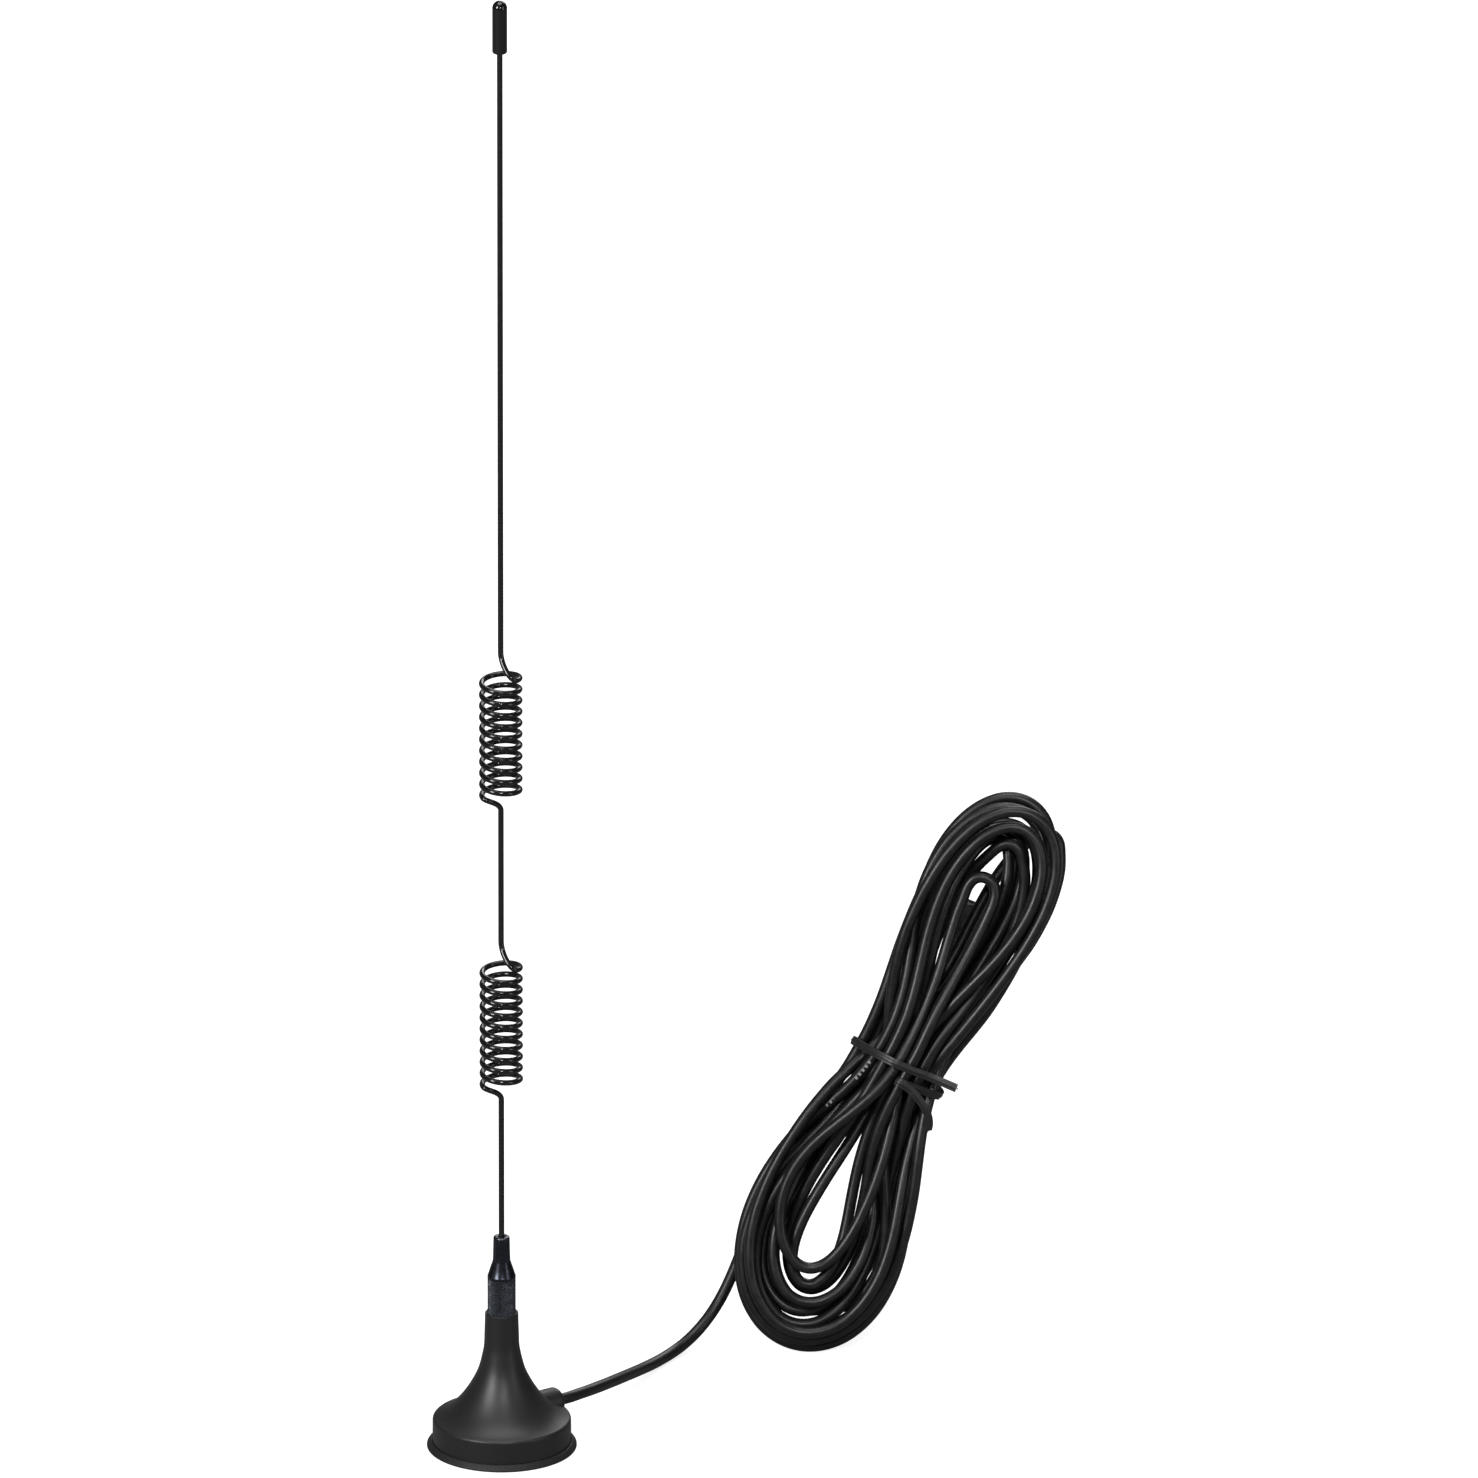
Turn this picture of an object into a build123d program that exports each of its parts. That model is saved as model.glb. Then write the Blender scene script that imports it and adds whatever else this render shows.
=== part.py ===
"""Magnet-mount whip antenna: turned base, loaded whip, coax pigtail in a tied hank, threaded plug.

Millimetres, +Z up.  The origin is the centre of the foot's underside, and the whip runs along +Z.
Every separate piece is written as its own STEP file in parts/.
Turned profiles are lists of (radius, z) points.
"""

import math
import os

import numpy as np
from build123d import *

os.makedirs("parts", exist_ok=True)

# ---------------------------------------------------------------- driving dimensions
OVERALL_Z = 308.0          # foot underside to the top of the tip cap

FOOT_R = 15.0              # rubber foot
FOOT_T = 0.68
FOOT_LIP_Z = 1.30
SKIRT_R = 13.87            # housing skirt
SKIRT_Z0 = 0.72
SKIRT_CHAMFER = 0.15
SHOULDER = (13.85, 5.60)   # top of the skirt's side, (radius, z)
COLLAR_R = 3.20
COLLAR_Z = 28.67           # top of the housing's collar
COLLAR_BORE_R = 2.95       # counterbore that takes the ferrule
COLLAR_BORE_Z = 25.50
CAVITY_R = 12.30           # room for the magnet pack
CAVITY_Z = 4.90
CHAMBER_R = 7.0            # wiring chamber above the magnet pack
CHAMBER_Z = 9.40

CUP_R = 12.10
CUP_BORE_R = 2.5
CUP_Z0, CUP_Z1 = 0.76, 4.34
CUP_WALL = 1.20
CUP_CHAMFER = 0.5
MAGNET_R, MAGNET_BORE_R = 10.75, 2.60
MAGNET_Z0, MAGNET_Z1 = 0.86, 3.02
MAGNET_CHAMFER = 0.2
GROUND_R, GROUND_BORE_R = 11.60, 3.0
GROUND_Z0, GROUND_Z1 = 4.42, 4.82

STUD_R = 1.93              # M4 x 0.7 post, drawn plain
STUD_Z0, STUD_TOP = 5.4, 32.5
STUD_FLANGE_R = 2.30
STUD_FLANGE_Z0, STUD_FLANGE_Z1 = 20.95, 23.05
STUD_PIN_R = 0.80
STUD_GAP = 0.06            # between the stud and its pocket in the housing

KNURL_R = 2.825            # ferrule
FERRULE_Z0 = 26.50
KNURL_Z1 = 36.70
CONE_Z1 = 39.50
NECK_R0, NECK_R1 = 1.75, 1.63
FERRULE_Z1 = 44.90
THREAD_BORE_R = 2.00
THREAD_BORE_Z1 = 33.30

WIRE_R = 0.57              # whip wire
WIRE_Z0, WIRE_Z1 = 34.60, 305.50
COIL_R = 3.80              # coil centre line
COIL_PITCH = 2.38
COIL_TURNS = 10.62
COIL_START_DEG = -25.0
COIL_MID_Z = (152.4, 90.6)
COIL_RISE = 12.07          # middle of a coil to its first turn

CAP_R = 1.49
CAP_Z0 = 297.0
CAP_FILLET = 0.35

CABLE_Z = 6.5              # height of the cable where it leaves the housing
CABLE_AZ = 35.0            # and its direction
BOSS_R = 2.85              # domed boss round the cable's exit
BOSS_START, BOSS_END = 8.0, 14.0
BOSS_FILLET = 1.38
JACKET_R, JACKET_BORE_R = 1.17, 0.95
BRAID_R, BRAID_BORE_R = 0.85, 0.71
CORE_R, CORE_BORE_R = 0.61, 0.30
CONDUCTOR_R = 0.20

TIE_W, TIE_T = 1.70, 0.56  # twist tie, width and thickness over its spine
TIE_EDGE_T = 0.30          # thickness of its flat edges
TIE_WIRE_R = 0.15
TIE_CHANNEL_R = 0.21


# ---------------------------------------------------------------- helpers
def unit(v):
    v = np.asarray(v, float)
    return v / np.linalg.norm(v)


def table(text, columns):
    """Array of numbers, one row per line of text."""
    return np.array(text.split(), float).reshape(-1, columns)


def arc_or_line(start, tangent, end):
    """Edge leaving start along tangent: an arc, or a line where end lies straight ahead."""
    chord = end - start
    side = chord - (chord @ tangent) * tangent
    if np.linalg.norm(side) < 2e-5:
        return Edge.make_line(Vector(*start), Vector(*end))
    return Edge.make_tangent_arc(Vector(*start), Vector(*tangent), Vector(*end))


def end_direction(start, tangent, end):
    """Direction of that edge at its end."""
    chord = unit(end - start)
    return unit(2 * (chord @ tangent) * chord - tangent)


def biarc(p0, t0, p1, t1):
    """Two tangent arcs from point p0 with direction t0 to point p1 with direction t1."""
    span = p1 - p0
    a = 2 * (1 - t0 @ t1)
    if a < 1e-10:
        reach = (span @ span) / (4 * (span @ t1))
    else:
        b = span @ (t0 + t1)
        reach = (-b + math.sqrt(b * b + a * (span @ span))) / a
    joint = ((p0 + reach * t0) + (p1 - reach * t1)) / 2
    joint_dir = end_direction(p0, t0, joint)
    return [arc_or_line(p0, t0, joint), arc_or_line(joint, joint_dir, p1)]


def path(points, directions):
    """Chain of tangent edges through the points with the given directions."""
    directions = [unit(d) for d in directions]
    edges = []
    for i in range(len(points) - 1):
        edges += biarc(points[i], directions[i], points[i + 1], directions[i + 1])
    return edges


def rod(edges, radius):
    """Round bar along a chain of tangent edges."""
    plane = Plane(origin=edges[0].position_at(0), z_dir=edges[0].tangent_at(0))
    return sweep(plane * Circle(radius), path=Wire(edges)).solid()


def tube(edges, radius, bore):
    """Hollow round bar: two skins closed by two rings."""
    outer = rod(edges, radius)
    inner = rod(edges, bore)
    skins = [f for s in (outer, inner) for f in s.faces() if f.geom_type != GeomType.PLANE]
    inner_ends = [f for f in inner.faces() if f.geom_type == GeomType.PLANE]
    rings = []
    for end in outer.faces():
        if end.geom_type == GeomType.PLANE:
            hole = min(inner_ends, key=lambda f: (f.center() - end.center()).length)
            rings.append(Face(end.outer_wire(), [hole.outer_wire()]))
    return Solid(Shell(skins + rings))


def turned(profile):
    """Solid of revolution about Z from (radius, z) points."""
    wire = Wire.make_polygon([Vector(r, 0, z) for r, z in profile], close=True)
    return revolve(Face(wire), Axis.Z, 360).solid()


def ring(bore, radius, z0, z1):
    return turned([(bore, z0), (radius, z0), (radius, z1), (bore, z1)])


def profile_line(start, end):
    """Line between two (radius, z) points."""
    return Edge.make_line(Vector(start[0], 0, start[1]), Vector(end[0], 0, end[1]))


def straight(start, end, radius):
    plane = Plane(origin=Vector(*start), z_dir=Vector(*(end - start)))
    return Solid.make_cylinder(radius, float(np.linalg.norm(end - start)), plane)


def largest(shape):
    return max(shape.solids(), key=lambda s: s.volume)


def save(name, solid):
    solid.label = name
    export_step(solid, "parts/" + name + ".step")


# ---------------------------------------------------------------- base
EXIT_DIR = np.array([math.cos(math.radians(CABLE_AZ)), math.sin(math.radians(CABLE_AZ)), 0.0])
EXIT_ORIGIN = np.array([0.0, 0.0, CABLE_Z])

# Concave flank of the housing from the collar down to the skirt: (radius, z).
FLANK = (
    (3.33, COLLAR_Z - 0.15), (3.38, 26.5), (3.45, 24.5), (3.50, 22.6), (3.65, 20.9),
    (3.83, 20.0), (4.23, 18.15), (4.80, 16.3), (5.62, 14.49), (7.46, 11.4), (9.20, 9.2),
    (11.30, 7.3), (13.35, 6.22),
)
SHOULDER_MID = (13.72, 5.98)   # on the arc from the flank to the skirt


def on_exit(distance):
    """Point on the cable's exit line, measured from the base's axis."""
    return EXIT_ORIGIN + distance * EXIT_DIR


def housing_blank():
    foot_corner = (SKIRT_R - SKIRT_CHAMFER, SKIRT_Z0)
    shoulder = [Vector(r, 0, z) for r, z in (FLANK[-1], SHOULDER_MID, SHOULDER)]
    outline = Wire(
        [
            profile_line((0, SKIRT_Z0), (0, COLLAR_Z)),
            profile_line((0, COLLAR_Z), (COLLAR_R, COLLAR_Z)),
            profile_line((COLLAR_R, COLLAR_Z), FLANK[0]),
            Edge.make_spline([Vector(r, 0, z) for r, z in FLANK]),
            Edge.make_three_point_arc(*shoulder),
            profile_line(SHOULDER, (SKIRT_R, 1.0)),
            profile_line((SKIRT_R, 1.0), foot_corner),
            profile_line(foot_corner, (0, SKIRT_Z0)),
        ]
    )
    return revolve(Face(outline), Axis.Z, 360).solid()


def cable_boss():
    boss = straight(on_exit(BOSS_START), on_exit(BOSS_END), BOSS_R)
    rim = [
        e for e in boss.edges()
        if e.geom_type == GeomType.CIRCLE
        and e.position_at(0).dot(Vector(*EXIT_DIR)) > BOSS_END - 0.1
    ]
    return boss.fillet(BOSS_FILLET, rim)


def stud_pocket():
    """Stepped bore for the stud, opening into the ferrule's counterbore."""
    pin_r, flange_r, stud_r = (r + STUD_GAP for r in (STUD_PIN_R, STUD_FLANGE_R, STUD_R))
    z0, z1 = STUD_FLANGE_Z0 - STUD_GAP, STUD_FLANGE_Z1 + STUD_GAP
    return turned(
        [
            (0, 9.0), (pin_r, 9.0), (pin_r, z0), (flange_r, z0), (flange_r, z1), (stud_r, z1),
            (stud_r, COLLAR_BORE_Z), (COLLAR_BORE_R, COLLAR_BORE_Z),
            (COLLAR_BORE_R, COLLAR_Z + 1.0), (0, COLLAR_Z + 1.0),
        ]
    )


def base_housing():
    housing = housing_blank() + cable_boss()
    # The magnet cavity opens through the underside; the chamber overlaps its top.
    housing = housing - Solid.make_cylinder(CAVITY_R, CAVITY_Z + 4.0, Plane((0, 0, -4.0)))
    chamber_plane = Plane((0, 0, CAVITY_Z - 0.5))
    housing = housing - Solid.make_cylinder(CHAMBER_R, CHAMBER_Z - CAVITY_Z + 0.5, chamber_plane)
    housing = housing - stud_pocket()
    housing = housing - straight(on_exit(5.5), on_exit(17.0), JACKET_R + 0.14)
    return housing.solid()


def rubber_foot():
    seat_r = SKIRT_R + 0.10
    return turned(
        [
            (0, 0), (FOOT_R - 0.12, 0), (FOOT_R, 0.12), (FOOT_R, 0.34), (14.22, FOOT_LIP_Z),
            (seat_r, FOOT_LIP_Z), (seat_r, FOOT_T), (0, FOOT_T),
        ]
    )


def magnet_cup():
    inner_r, roof_z = CUP_R - CUP_WALL, CUP_Z1 - CUP_WALL
    return turned(
        [
            (CUP_BORE_R, CUP_Z1), (CUP_BORE_R, roof_z), (inner_r, roof_z), (inner_r, CUP_Z0),
            (CUP_R, CUP_Z0), (CUP_R, CUP_Z1 - CUP_CHAMFER), (CUP_R - CUP_CHAMFER, CUP_Z1),
        ]
    )


def magnet():
    c = MAGNET_CHAMFER
    return turned(
        [
            (MAGNET_BORE_R, MAGNET_Z0), (MAGNET_R - c, MAGNET_Z0), (MAGNET_R, MAGNET_Z0 + c),
            (MAGNET_R, MAGNET_Z1 - c), (MAGNET_R - c, MAGNET_Z1), (MAGNET_BORE_R, MAGNET_Z1),
        ]
    )


def ground_plate():
    return ring(GROUND_BORE_R, GROUND_R, GROUND_Z0, GROUND_Z1)


def feed_stud():
    return turned(
        [
            (0, STUD_Z0), (STUD_PIN_R, STUD_Z0), (STUD_PIN_R, STUD_FLANGE_Z0),
            (STUD_FLANGE_R, STUD_FLANGE_Z0), (STUD_FLANGE_R, STUD_FLANGE_Z1),
            (STUD_R, STUD_FLANGE_Z1), (STUD_R, STUD_TOP - 0.5), (STUD_R - 0.5, STUD_TOP),
            (0, STUD_TOP),
        ]
    )


def seal_ring():
    return ring(2.05, 2.78, COLLAR_BORE_Z + 0.05, FERRULE_Z0 - 0.05)


def feed_solder():
    """Bead between the stud's pin and the conductor, cut flat underneath."""
    bead = Solid.make_sphere(1.32, Plane(Vector(*on_exit(0.95))))
    bead = bead - Solid.make_cylinder(STUD_PIN_R + 0.02, 6.0, Plane((0, 0, 4.5)))
    bead = bead - straight(EXIT_ORIGIN, on_exit(4.0), CONDUCTOR_R + 0.02)
    bead = bead - Solid.make_box(8, 8, 4, Plane((-4, -4, STUD_Z0 - 0.05 - 4)))
    return largest(bead)


def ground_solder():
    """Bead between the ground plate and the braid."""
    bead = Solid.make_sphere(1.45, Plane(Vector(*(on_exit(6.0) - np.array([0, 0, 1.0])))))
    bead = bead - straight(on_exit(3.0), on_exit(9.0), BRAID_R + 0.02)
    bead = bead - Solid.make_box(24, 24, 4, Plane((-12, -12, GROUND_Z1 + 0.02 - 4)))
    bead = bead & Solid.make_cylinder(CHAMBER_R - 0.1, 6, Plane((0, 0, GROUND_Z1)))
    return largest(bead)


# ---------------------------------------------------------------- whip
DOWN = np.array([0.0, 0.0, -1.0])
COIL_STEPS = 12            # way-points per turn
LEAD_STEPS = 6             # spans in each lead between the axis and a coil
TOP_LEAD, TOP_PULLS = 5.4, (8.5, 9.5)   # lead height, and tangent lengths at its two ends
LOW_LEAD, LOW_PULLS = 3.2, (6.5, 5.5)


def whip_ferrule():
    bore_r, floor_z = WIRE_R + 0.06, WIRE_Z0 - 0.2
    return turned(
        [
            (0, THREAD_BORE_Z1), (THREAD_BORE_R, THREAD_BORE_Z1),
            (THREAD_BORE_R, FERRULE_Z0 + 0.2), (THREAD_BORE_R + 0.2, FERRULE_Z0),
            (KNURL_R - 0.25, FERRULE_Z0), (KNURL_R, FERRULE_Z0 + 0.25),
            (KNURL_R, KNURL_Z1 - 0.12), (KNURL_R - 0.12, KNURL_Z1),
            (NECK_R0 + 0.02, CONE_Z1 - 0.05), (NECK_R0, CONE_Z1),
            (NECK_R1, FERRULE_Z1 - 0.25), (NECK_R1 - 0.25, FERRULE_Z1),
            (WIRE_R + 0.16, FERRULE_Z1), (bore_r, FERRULE_Z1 - 0.15), (bore_r, floor_z),
            (0, floor_z),
        ]
    )


def on_coil(turn, top_z):
    """Station on a left-hand coil, counted in turns down from top_z."""
    angle = math.radians(COIL_START_DEG + 360 * turn)
    x, y = COIL_R * math.cos(angle), COIL_R * math.sin(angle)
    point = np.array([x, y, top_z - COIL_PITCH * turn])
    return point, unit([-y, x, -COIL_PITCH / (2 * math.pi)])


def lead(start, end, pulls):
    """Inner stations of a cubic Hermite curve between two stations."""
    (p0, t0), (p1, t1) = start, end
    m0, m1 = pulls[0] * t0, pulls[1] * t1
    stations = []
    for i in range(1, LEAD_STEPS):
        s = i / LEAD_STEPS
        point = (
            (2 * s**3 - 3 * s**2 + 1) * p0 + (s**3 - 2 * s**2 + s) * m0
            + (-2 * s**3 + 3 * s**2) * p1 + (s**3 - s**2) * m1
        )
        slope = (
            (6 * s**2 - 6 * s) * p0 + (3 * s**2 - 4 * s + 1) * m0
            + (-6 * s**2 + 6 * s) * p1 + (3 * s**2 - 2 * s) * m1
        )
        stations.append((point, slope))
    return stations


def whip_wire():
    """Wire from the tip down to the ferrule, with two close-wound coils."""
    stations = [(np.array([0.0, 0.0, WIRE_Z1]), DOWN)]
    steps = int(COIL_TURNS * COIL_STEPS)
    for mid_z in COIL_MID_Z:
        top_z = mid_z + COIL_RISE
        low_z = top_z - COIL_PITCH * COIL_TURNS
        top = (np.array([0.0, 0.0, top_z + TOP_LEAD]), DOWN)
        low = (np.array([0.0, 0.0, low_z - LOW_LEAD]), DOWN)
        coil = [on_coil(COIL_TURNS * i / steps, top_z) for i in range(steps + 1)]
        stations += [top, *lead(top, coil[0], TOP_PULLS)]
        stations += coil
        stations += [*lead(coil[-1], low, LOW_PULLS), low]
    stations.append((np.array([0.0, 0.0, WIRE_Z0]), DOWN))
    return rod(path(*zip(*stations)), WIRE_R)


def tip_cap():
    bore_r, bore_z = WIRE_R + 0.05, WIRE_Z1 + 0.1
    fillet_r, fillet_z = CAP_R - CAP_FILLET, CAP_Z0 + CAP_FILLET
    dome_z = OVERALL_Z - CAP_R
    outline = Wire(
        [
            profile_line((bore_r, CAP_Z0), (fillet_r, CAP_Z0)),
            Edge.make_tangent_arc(
                Vector(fillet_r, 0, CAP_Z0), Vector(1, 0, 0), Vector(CAP_R, 0, fillet_z)
            ),
            profile_line((CAP_R, fillet_z), (CAP_R, dome_z)),
            Edge.make_tangent_arc(
                Vector(CAP_R, 0, dome_z), Vector(0, 0, 1), Vector(0, 0, OVERALL_Z)
            ),
            profile_line((0, OVERALL_Z), (0, bore_z)),
            profile_line((0, bore_z), (bore_r, bore_z)),
            profile_line((bore_r, bore_z), (bore_r, CAP_Z0)),
        ]
    )
    return revolve(Face(outline), Axis.Z, 360).solid()


# ---------------------------------------------------------------- plug, drawn along Z
PLUG_ORIGIN = np.array([87.184, 76.688, 66.012])
PLUG_AXIS = unit([0.39787, 0.23745, 0.88618])
SLEEVE_BORE_R = JACKET_R + 0.10        # heat shrink and crimp over the jacket
NUT_FLATS = 7.94                       # across flats
NUT_CORNER_R, NUT_FACE_R = 4.62, 4.05  # chamfered corners
NUT_Z0, NUT_Z1 = 12.30, 20.30
NUT_MINOR_R = 2.85                     # 1/4-36 thread, drawn plain at its minor size
BARREL_R = 2.295
NECK_R = 2.40                          # body inside the nut's rear
GROOVE_R = 2.17                        # snap ring's groove
GROOVE_Z0, GROOVE_Z1 = 13.90, 14.42
GROOVE_GAP = 0.06
PIN_R = 0.457


def heat_shrink():
    return turned(
        [
            (SLEEVE_BORE_R, -1.2), (1.55, -1.2), (1.60, -1.05), (1.60, 1.3), (2.36, 2.3),
            (2.36, 8.3), (2.06, 8.3), (2.06, 1.6), (SLEEVE_BORE_R, 1.45),
        ]
    )


def crimp_ferrule():
    return turned(
        [
            (SLEEVE_BORE_R, 1.8), (1.96, 1.8), (1.96, 9.30), (1.55, 9.30), (1.55, 4.8),
            (SLEEVE_BORE_R, 4.5),
        ]
    )


def sma_body():
    body = turned(
        [
            (0.76, 5.0), (1.45, 5.0), (1.45, 9.5), (3.0, 9.5), (3.2, 9.7), (3.2, 11.8),
            (3.0, 12.0), (NECK_R, 12.0), (NECK_R, GROOVE_Z0), (GROOVE_R, GROOVE_Z0),
            (GROOVE_R, GROOVE_Z1), (NECK_R, GROOVE_Z1), (NECK_R, 14.70), (2.50, 14.70),
            (2.50, 15.42), (BARREL_R, 15.46), (BARREL_R, 17.65), (BARREL_R - 0.15, 17.80),
            (2.02, 17.80), (2.02, 12.60), (0.76, 12.60),
        ]
    )
    # Two flats across the collar behind the nut.
    for y in (2.75, -4.75):
        body = body - Solid.make_box(8, 2, 2.6, Plane((-4, y, 9.45)))
    return body.solid()


def sma_snap_ring():
    split_ring = ring(2.24, 2.90, GROOVE_Z0 + GROOVE_GAP, GROOVE_Z1 - GROOVE_GAP)
    split_ring = split_ring - Solid.make_box(4, 1.0, 2, Plane((0, -0.5, 13.2)))
    return split_ring.solid()


def sma_coupling_nut():
    hexagon = RegularPolygon(NUT_FLATS / 2, 6, major_radius=False)
    nut = extrude(Plane((0, 0, NUT_Z0)) * hexagon, amount=NUT_Z1 - NUT_Z0).solid()
    nut = nut & turned(
        [
            (0, NUT_Z0), (NUT_FACE_R, NUT_Z0), (NUT_CORNER_R, NUT_Z0 + 0.45),
            (NUT_CORNER_R, NUT_Z1 - 0.45), (NUT_FACE_R, NUT_Z1), (0, NUT_Z1),
        ]
    )
    nut = nut - turned(
        [
            (0, 12.0), (2.55, 12.0), (2.55, 13.60), (3.10, 13.60), (3.10, 15.90),
            (NUT_MINOR_R, 16.15), (NUT_MINOR_R, 19.95), (3.22, 20.40), (0, 20.40),
        ]
    )
    return nut.solid()


def sma_gasket():
    return ring(2.52, 2.92, 14.78, 15.40)


def sma_insulator():
    return turned(
        [
            (0.53, 12.68), (1.95, 12.68), (1.95, 17.76), (0.68, 17.76), (0.68, 14.50),
            (0.91, 14.50), (0.91, 13.40), (0.53, 13.40),
        ]
    )


def sma_centre_pin():
    return turned(
        [
            (0.26, 9.6), (PIN_R, 9.6), (PIN_R, 13.50), (0.85, 13.50), (0.85, 14.40),
            (0.64, 14.40), (0.64, 17.74), (PIN_R, 17.78), (PIN_R, 19.40), (0.22, 19.80),
            (0, 19.80), (0, 12.3), (0.26, 12.3),
        ]
    )


# ---------------------------------------------------------------- cable, layer by layer
def cable_path(start, stop):
    """Path of one layer, from radius start in the base to stop along the plug's axis."""
    on_plug = [PLUG_ORIGIN + distance * PLUG_AXIS for distance in (0.55, stop)]
    points = [on_exit(start), *CABLE[:, :3], *on_plug]
    return path(points, [EXIT_DIR, *CABLE[:, 3:], PLUG_AXIS, PLUG_AXIS])


def coax_jacket():
    return tube(cable_path(7.6, 3.6), JACKET_R, JACKET_BORE_R)


def coax_braid():
    return tube(cable_path(5.0, 4.6), BRAID_R, BRAID_BORE_R)


def coax_dielectric():
    return tube(cable_path(3.0, 9.2), CORE_R, CORE_BORE_R)


def coax_conductor():
    return rod(cable_path(STUD_PIN_R + 0.15, 11.9), CONDUCTOR_R)


# ---------------------------------------------------------------- twist tie round the hank
def tie_path():
    return path(TIE[:, :3], TIE[:, 3:6])


def tie_section(station):
    """Corners of the flat strip with a raised spine over its wire."""
    centre, along, across = station[:3], unit(station[3:6]), station[6:9]
    across = unit(across - (across @ along) * along)
    normal = np.cross(along, across)
    half_w, half_t, edge = TIE_W / 2, TIE_T / 2, TIE_EDGE_T / 2
    half = [
        (-half_w, -edge), (-half_w, edge), (-0.45, edge), (-0.26, half_t), (0.26, half_t),
        (0.45, edge),
    ]
    corners = half + [(-a, -b) for a, b in half]
    return [Vector(*(centre + a * across + b * normal)) for a, b in corners]


def twist_tie_ribbon():
    sections = [tie_section(station) for station in TIE]
    count = len(sections[0])
    faces = []
    for a, b in zip(sections[:-1], sections[1:]):
        for i in range(count):
            j = (i + 1) % count
            edges = Edge.make_line(a[i], a[j]), Edge.make_line(b[i], b[j])
            faces.append(Face.make_surface_from_curves(*edges))
    for end in (sections[0], sections[-1]):
        faces.append(Face(Wire.make_polygon(end, close=True)))
    strip = Solid(Shell(faces)) - rod(tie_path(), TIE_CHANNEL_R)
    return strip.solid()


def twist_tie_wire():
    return rod(tie_path(), TIE_WIRE_R)


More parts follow.
